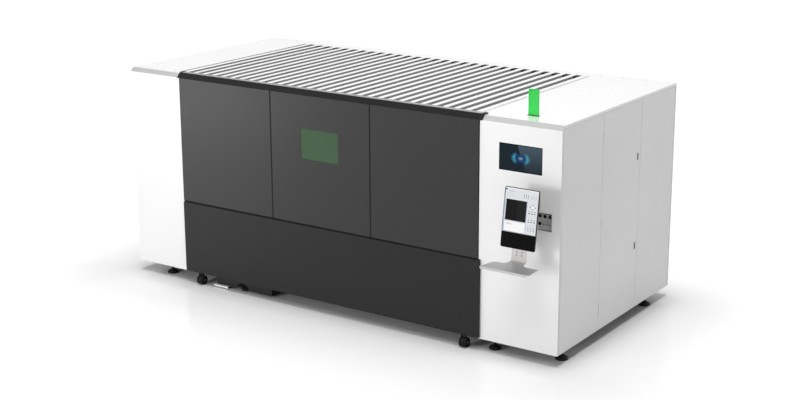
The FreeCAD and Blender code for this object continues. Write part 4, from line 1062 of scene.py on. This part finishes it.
# fields of the control page: left, top, right and bottom as shares of the screen
def controlPage():
    fields = [
        ("white", 0.0, 0.0, 1.0, 0.02), ("blue", 0.008, 0.022, 0.052, 0.06),
        ("faint", 0.12, 0.055, 0.3, 0.063), ("grey", 0.12, 0.072, 0.27, 0.082),
        ("strip", 0.0, 0.25, 0.032, 1.0), ("canvas", 0.05, 0.26, 0.67, 0.735),
        ("canvasBeam", 0.39, 0.262, 0.668, 0.733), ("strip", 0.05, 0.742, 0.12, 0.757),
        ("white", 0.05, 0.765, 0.655, 0.975), ("grey", 0.07, 0.795, 0.25, 0.806),
        ("grey", 0.11, 0.815, 0.29, 0.824), ("faint", 0.07, 0.836, 0.21, 0.844),
        ("grey", 0.0, 0.986, 1.0, 1.0), ("strip", 0.672, 0.25, 0.69, 0.975),
        ("warm", 0.85, 0.285, 0.885, 0.297), ("dark", 0.83, 0.32, 0.86, 0.336),
        ("dark", 0.755, 0.362, 0.79, 0.378), ("dark", 0.9, 0.362, 0.935, 0.378),
        ("dark", 0.83, 0.404, 0.86, 0.42), ("white", 0.81, 0.35, 0.88, 0.39),
    ]
    for column in range(4):
        left = 0.05 + column * 0.062
        fields += [("faint", left, 0.115, left + 0.04, 0.14), ("faint", left, 0.175, left + 0.04, 0.2)]
    for column in range(3):
        left, middle, right = 0.56 + column * 0.062, 0.735 + column * 0.083, 0.77 + column * 0.07
        fields += [("grey", left, 0.1, left + 0.018, 0.2), ("faint", right, 0.11, right + 0.04, 0.2)]
        for row in range(11):
            tone = ("grey", "faint", "dark")[(row * 2 + column * 3 + row // 3) % 3]
            top = 0.46 + row * 0.047
            if tone != "dark" or row % 4 == 1:
                fields.append((tone, middle, top, middle + 0.045, top + 0.02))
    return fields


# a frame of its own for the leaning parts: x across, y up the slope, z out of the front
def leaning(centre):
    lean = math.radians(console["lean"])
    up, out = Vector((0, math.sin(lean), math.cos(lean))), Vector((0, -math.cos(lean), math.sin(lean)))
    turn = Matrix((Vector((1, 0, 0)), up, out)).transposed().to_4x4()
    return Matrix.Translation(centre) @ turn


def sizeAlong(node, place):
    return boxAround([place.inverted() @ vert.co for vert in nodes[node].data.vertices])


# a slim rim, a back that tapers to the middle, a recessed glass front and a chin of another finish
def makeMonitorCase(place, low, high, chin):
    depth, inset = console["rimDepth"], console["backInset"] * 2
    part = roughBlock((low.x, low.y, high.z - depth), high)
    bevelled(part, uprightOf(part), console["corner"], 5)
    back = [face for face in part.faces if face.normal.z < -0.99]
    bmesh.ops.inset_region(part, faces=back, thickness=console["backLip"], use_even_offset=True)
    bulge = bmesh.ops.extrude_face_region(part, geom=back)["geom"]
    bmesh.ops.delete(part, geom=back, context="FACES")
    bulge = [item for item in bulge if isinstance(item, bmesh.types.BMVert)]
    bmesh.ops.translate(part, vec=(0, 0, depth - (high.z - low.z)), verts=bulge)
    bmesh.ops.scale(part, vec=(1 - inset / (high.x - low.x), 1 - inset / (high.y - low.y), 1), verts=bulge)
    bevelled(part, sharpOf(part), console["rimRound"], 3)
    bmesh.ops.bisect_plane(part, geom=part.verts[:] + part.edges[:] + part.faces[:], dist=0.000001,
                           plane_co=(0, chin - console["bezel"], 0), plane_no=(0, 1, 0))
    front = []
    for face in part.faces:
        centre = face.calc_center_median()
        if face.normal.z > 0.99 and centre.z > high.z - 0.0005 and centre.y > chin:
            front.append(face)
    bmesh.ops.inset_region(part, faces=front, thickness=console["bezel"], use_even_offset=True)
    bmesh.ops.translate(part, vec=(0, 0, -console["recess"]),
                        verts=list({vert for face in front for vert in face.verts}))
    for face in part.faces:
        face.material_index = int(face.normal.z > 0.99 and face.calc_center_median().y < chin)
    bmesh.ops.transform(part, matrix=place, verts=part.verts)

    bm, half = bmesh.new(), console["ventHalf"]
    placed(bm, part)
    for i in range(console["vents"]):
        x = (i - (console["vents"] - 1) / 2) * console["ventPitch"]
        for y in console["ventRows"]:
            blockIn(bm, (x - half, y, low.z - 0.0008), (x + half, y + 0.003, low.z + 0.001), 0.0004, 1, 0,
                    place)
    case = pieceOf(bm, "monitor_case_made", "console", "black_plastic", finish["plastic"],
                   finish["glossBlack"], smooth=40)
    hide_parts("monitor_case")
    print("monitor made")


def makeMonitorScreen(place, low, high, chin):
    level, rise = high.z - console["recess"], console["fieldHeight"]
    margin = console["bezel"] + 0.0002
    left, top = low.x + margin, high.y - margin
    width, height = high.x - low.x - 2 * margin, top - chin
    bm = bmesh.new()
    blockIn(bm, (left, chin, level - 0.0003), (left + width, top, level + 0.0001), place=place)
    fields = controlPage()
    for tone, x1, y1, x2, y2 in fields:
        blockIn(bm, (left + x1 * width, top - y2 * height, level),
                (left + x2 * width, top - y1 * height, level + rise),
                material=list(screenTones).index(tone), place=place)
    pictures = [lit("screen" + tone.capitalize(), color) for tone, color in screenTones.items()]
    screen = pieceOf(bm, "monitor_screen_made", "console", "screen_glass", *pictures)
    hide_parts("monitor_screen")
    print("screen made,", len(fields), "fields")


def makeMonitor():
    place = leaning(middleOf(*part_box("monitor_case")))
    low, high = sizeAlong("monitor_case", place)
    chin = sizeAlong("monitor_screen", place)[0].y
    makeMonitorCase(place, low, high, chin)
    makeMonitorScreen(place, low, high, chin)


def makeBracket():
    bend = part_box("console_bracket")[0].z + console["trayRise"]

    # painted light: the neck over the bend and the strip along the tray's front edge take lighter copies of
    # the tray's steel, standing for their brighter reflections; the tray itself keeps the plain steel
    def paintedLightSteelOf(face):
        level = face.calc_center_median().z
        if level > bend + 0.002:
            return 1
        return 2 if level < bend - console["trayLip"] and abs(face.normal.z) < 0.7 else 0

    softened("console_bracket", 0.0008, 1, 0.0, [finish["tray"], finish["neck"], finish["lipSteel"]], paintedLightSteelOf)
    arm = middleOf(*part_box("console_arm"))
    place = leaning(Vector((arm.x, frontFace - console["neckFront"], console["neckLevel"])))
    bm = bmesh.new()
    for x, up in console["neckScrews"]:
        screwOn(bm, console["screwRadius"], place @ Vector((x, up, 0)), place.to_3x3() @ Vector((0, 0, 1)))
    pieceOf(bm, "bracket_screws", "console", "black_plastic", finish["blackSteel"], smooth=35)
    for node in ("console_arm", "console_wall_mount"):
        softened(node, console["armRound"], 2, console["armEdge"])
    print("bracket bent")


makeMonitor()
makeBracket()


# side door, latches and what stands behind it

latch = {"radius": 0.0012, "narrow": 0.002}
louvre = {"count": 9, "pitch": 0.018}
source = {
    "louvresFrom": 0.06,
    "louvresAside": 0.12,
    "louvreHalf": 0.07,
    "handleAside": 0.05,
    "handlePosts": (0.05, 0.14),
    "post": [(0, 0), (0.007, 0), (0.007, 0.015), (0.005, 0.02), (0, 0.021)],
    "plateHalf": 0.1,
}
cabinet = {
    "radius": 0.004,
    "narrow": 0.01,
    "doorInset": 0.02,
    "doorThickness": 0.003,
    "locksFrom": 0.35,
    "locksAside": 0.06,
    "louvresFrom": 0.12,
    "louvreHalf": 0.09,
}


def makeLatches():
    for node in ("latch_upper", "latch_lower", "latch_rims"):
        softened(node, latch["radius"], 2, latch["narrow"])
    print("latches made")


# louvres one above the other, from the box of the lowest one
def louvresOn(bm, low, high, rounding):
    for i in range(louvre["count"]):
        rise = Vector((0, 0, i * louvre["pitch"]))
        blockIn(bm, Vector(low) + rise, Vector(high) + rise, rounding)


# the laser source's louvres, two handles on posts, and a bare dark plate
def makeSource():
    low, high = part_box("laser_source")
    softened("laser_source", cabinet["radius"], 2, cabinet["narrow"])
    bm = bmesh.new()
    start, half = low.z + source["louvresFrom"], source["louvreHalf"]
    for y in (low.y + source["louvresAside"], high.y - source["louvresAside"]):
        louvresOn(bm, (high.x - 0.002, y - half, start), (high.x + 0.004, y + half, start + 0.006), 0.0015)
    for y in (low.y + source["handleAside"], high.y - source["handleAside"]):
        for drop in source["handlePosts"]:
            turnedOn(bm, source["post"], (high.x, y, high.z - drop), (1, 0, 0), 20, 1)
        blockIn(bm, (high.x + 0.012, y - 0.007, high.z - 0.15), (high.x + 0.022, y + 0.007, high.z - 0.04),
                0.004, 3, 1)
    middle, half = middleOf(low, high), source["plateHalf"]
    blockIn(bm, (high.x - 0.001, middle.y - half, high.z - 0.09),
            (high.x + 0.003, middle.y + half, high.z - 0.03), 0.001, 1, 2)
    pieceOf(bm, "source_fittings", "housing", "black_plastic", finish["grey"], finish["blackSteel"],
            finish["glossBlack"], smooth=40)
    print("laser source fitted")


# the control cabinet's door leaf with two key locks and its louvres
def makeCabinet():
    low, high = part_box("control_cabinet")
    softened("control_cabinet", cabinet["radius"], 2, cabinet["narrow"])
    bm = bmesh.new()
    inset, front = cabinet["doorInset"], high.x + cabinet["doorThickness"]
    blockIn(bm, (high.x - 0.001, low.y + inset, low.z + inset), (front, high.y - inset, high.z - inset),
            0.0015, 2, 0)
    y = low.y + cabinet["locksAside"]
    for z in (low.z + cabinet["locksFrom"], high.z - cabinet["locksFrom"]):
        turnedOn(bm, [(0, 0), (0.014, 0), (0.014, 0.004), (0.011, 0.006), (0, 0.006)], (front, y, z),
                 (1, 0, 0), 24, 1)
        turnedOn(bm, [(0, 0), (0.006, 0), (0.006, 0.003), (0, 0.003)], (front + 0.006, y, z), (1, 0, 0), 3, 2)
    middle, half, start = middleOf(low, high), cabinet["louvreHalf"], low.z + cabinet["louvresFrom"]
    louvresOn(bm, (high.x, middle.y - half, start), (high.x + 0.008, middle.y + half, start + 0.007), 0.002)
    pieceOf(bm, "cabinet_door", "housing", "frame_paint", finish["frame"], finish["blackSteel"],
            finish["zincScrew"], smooth=40)
    print("control cabinet fitted")


makeLatches()
makeSource()
makeCabinet()


# supply and extraction at the back

supply = {"collarRadius": 0.08, "wall": 0.0012, "bead": 0.0025}


# sheet collars with a rolled bead for a duct's clamp and a flange at the wall
def makeSpigots():
    bm = bmesh.new()
    bead = supply["bead"]
    outer = supply["collarRadius"] - bead
    inner = outer - supply["wall"]
    for low, high in solidsOf("extraction_spigots"):
        place, reach = middleOf(low, high), high.y - low.y
        place.y = low.y
        collar = [(inner, 0), (inner, reach - 0.001), (inner + 0.0006, reach), (outer, reach - 0.0006)]
        for share, along in ((0, 0.74), (0.7, 0.71), (1, 0.66), (0.7, 0.61), (0, 0.58)):
            collar.append((outer + bead * share, reach * along))
        collar += [(outer, 0.004), (outer + bead, 0.002), (outer + bead, 0)]
        turnedOn(bm, collar, place, (0, 1, 0), 64, ring=True)
    sleeves = pieceOf(bm, "spigots_made", "housing", "galvanised", finish["zinc"], smooth=40)
    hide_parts("extraction_spigots")
    print("spigots made")


# brass connectors: a hexagon at the wall and a grooved neck, as shares of the solid's radius and reach
inlet = {
    "hexagon": (1.7, 0.45),
    "neck": 0.62,
    "grooves": ((0.55, 0.4), (1, 0.4), (1, 0.55), (1.12, 0.6), (0.94, 0.75), (1.1, 0.8), (0.9, 1),
                (0.55, 1)),
}


def makeInlets():
    bm = bmesh.new()
    for low, high in solidsOf("rear_inlets"):
        place, radius, reach = middleOf(low, high), (high.z - low.z) / 2, high.y - low.y
        place.y = low.y
        acrossFlats, height = inlet["hexagon"]
        hexOn(bm, radius * acrossFlats, reach * height, place, (0, 1, 0))
        neck = radius * inlet["neck"]
        turnedOn(bm, [(neck * r, reach * h) for r, h in inlet["grooves"]], place, (0, 1, 0), 28, ring=True)
    inlets = pieceOf(bm, "inlets_made", "housing", "brass", finish["brass"], smooth=35)
    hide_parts("rear_inlets")
    print("inlets made")


makeSpigots()
makeInlets()


# the overhead light passes the console, so that only the machine itself shades the floor under that light
sparedPieces = ("monitor_case_made", "monitor_screen_made", "console_bracket_made", "console_arm_made",
                "bracket_screws")


def spareConsole():
    spared = bpy.data.collections.new("sparedByOverhead")
    for name in sparedPieces:
        spared.objects.link(bpy.data.objects[name])
    bpy.data.objects["overhead"].light_linking.blocker_collection = spared
    for item in spared.collection_objects:
        item.light_linking.link_state = "EXCLUDE"


spareConsole()


# nodes that keep their own mesh get their finish here

for node, item in nodes.items():
    if item.hide_render:
        continue
    item.data.materials.clear()
    item.data.materials.append(finish[finishOfSlot[slotOf[node]]])
print("finishes given")
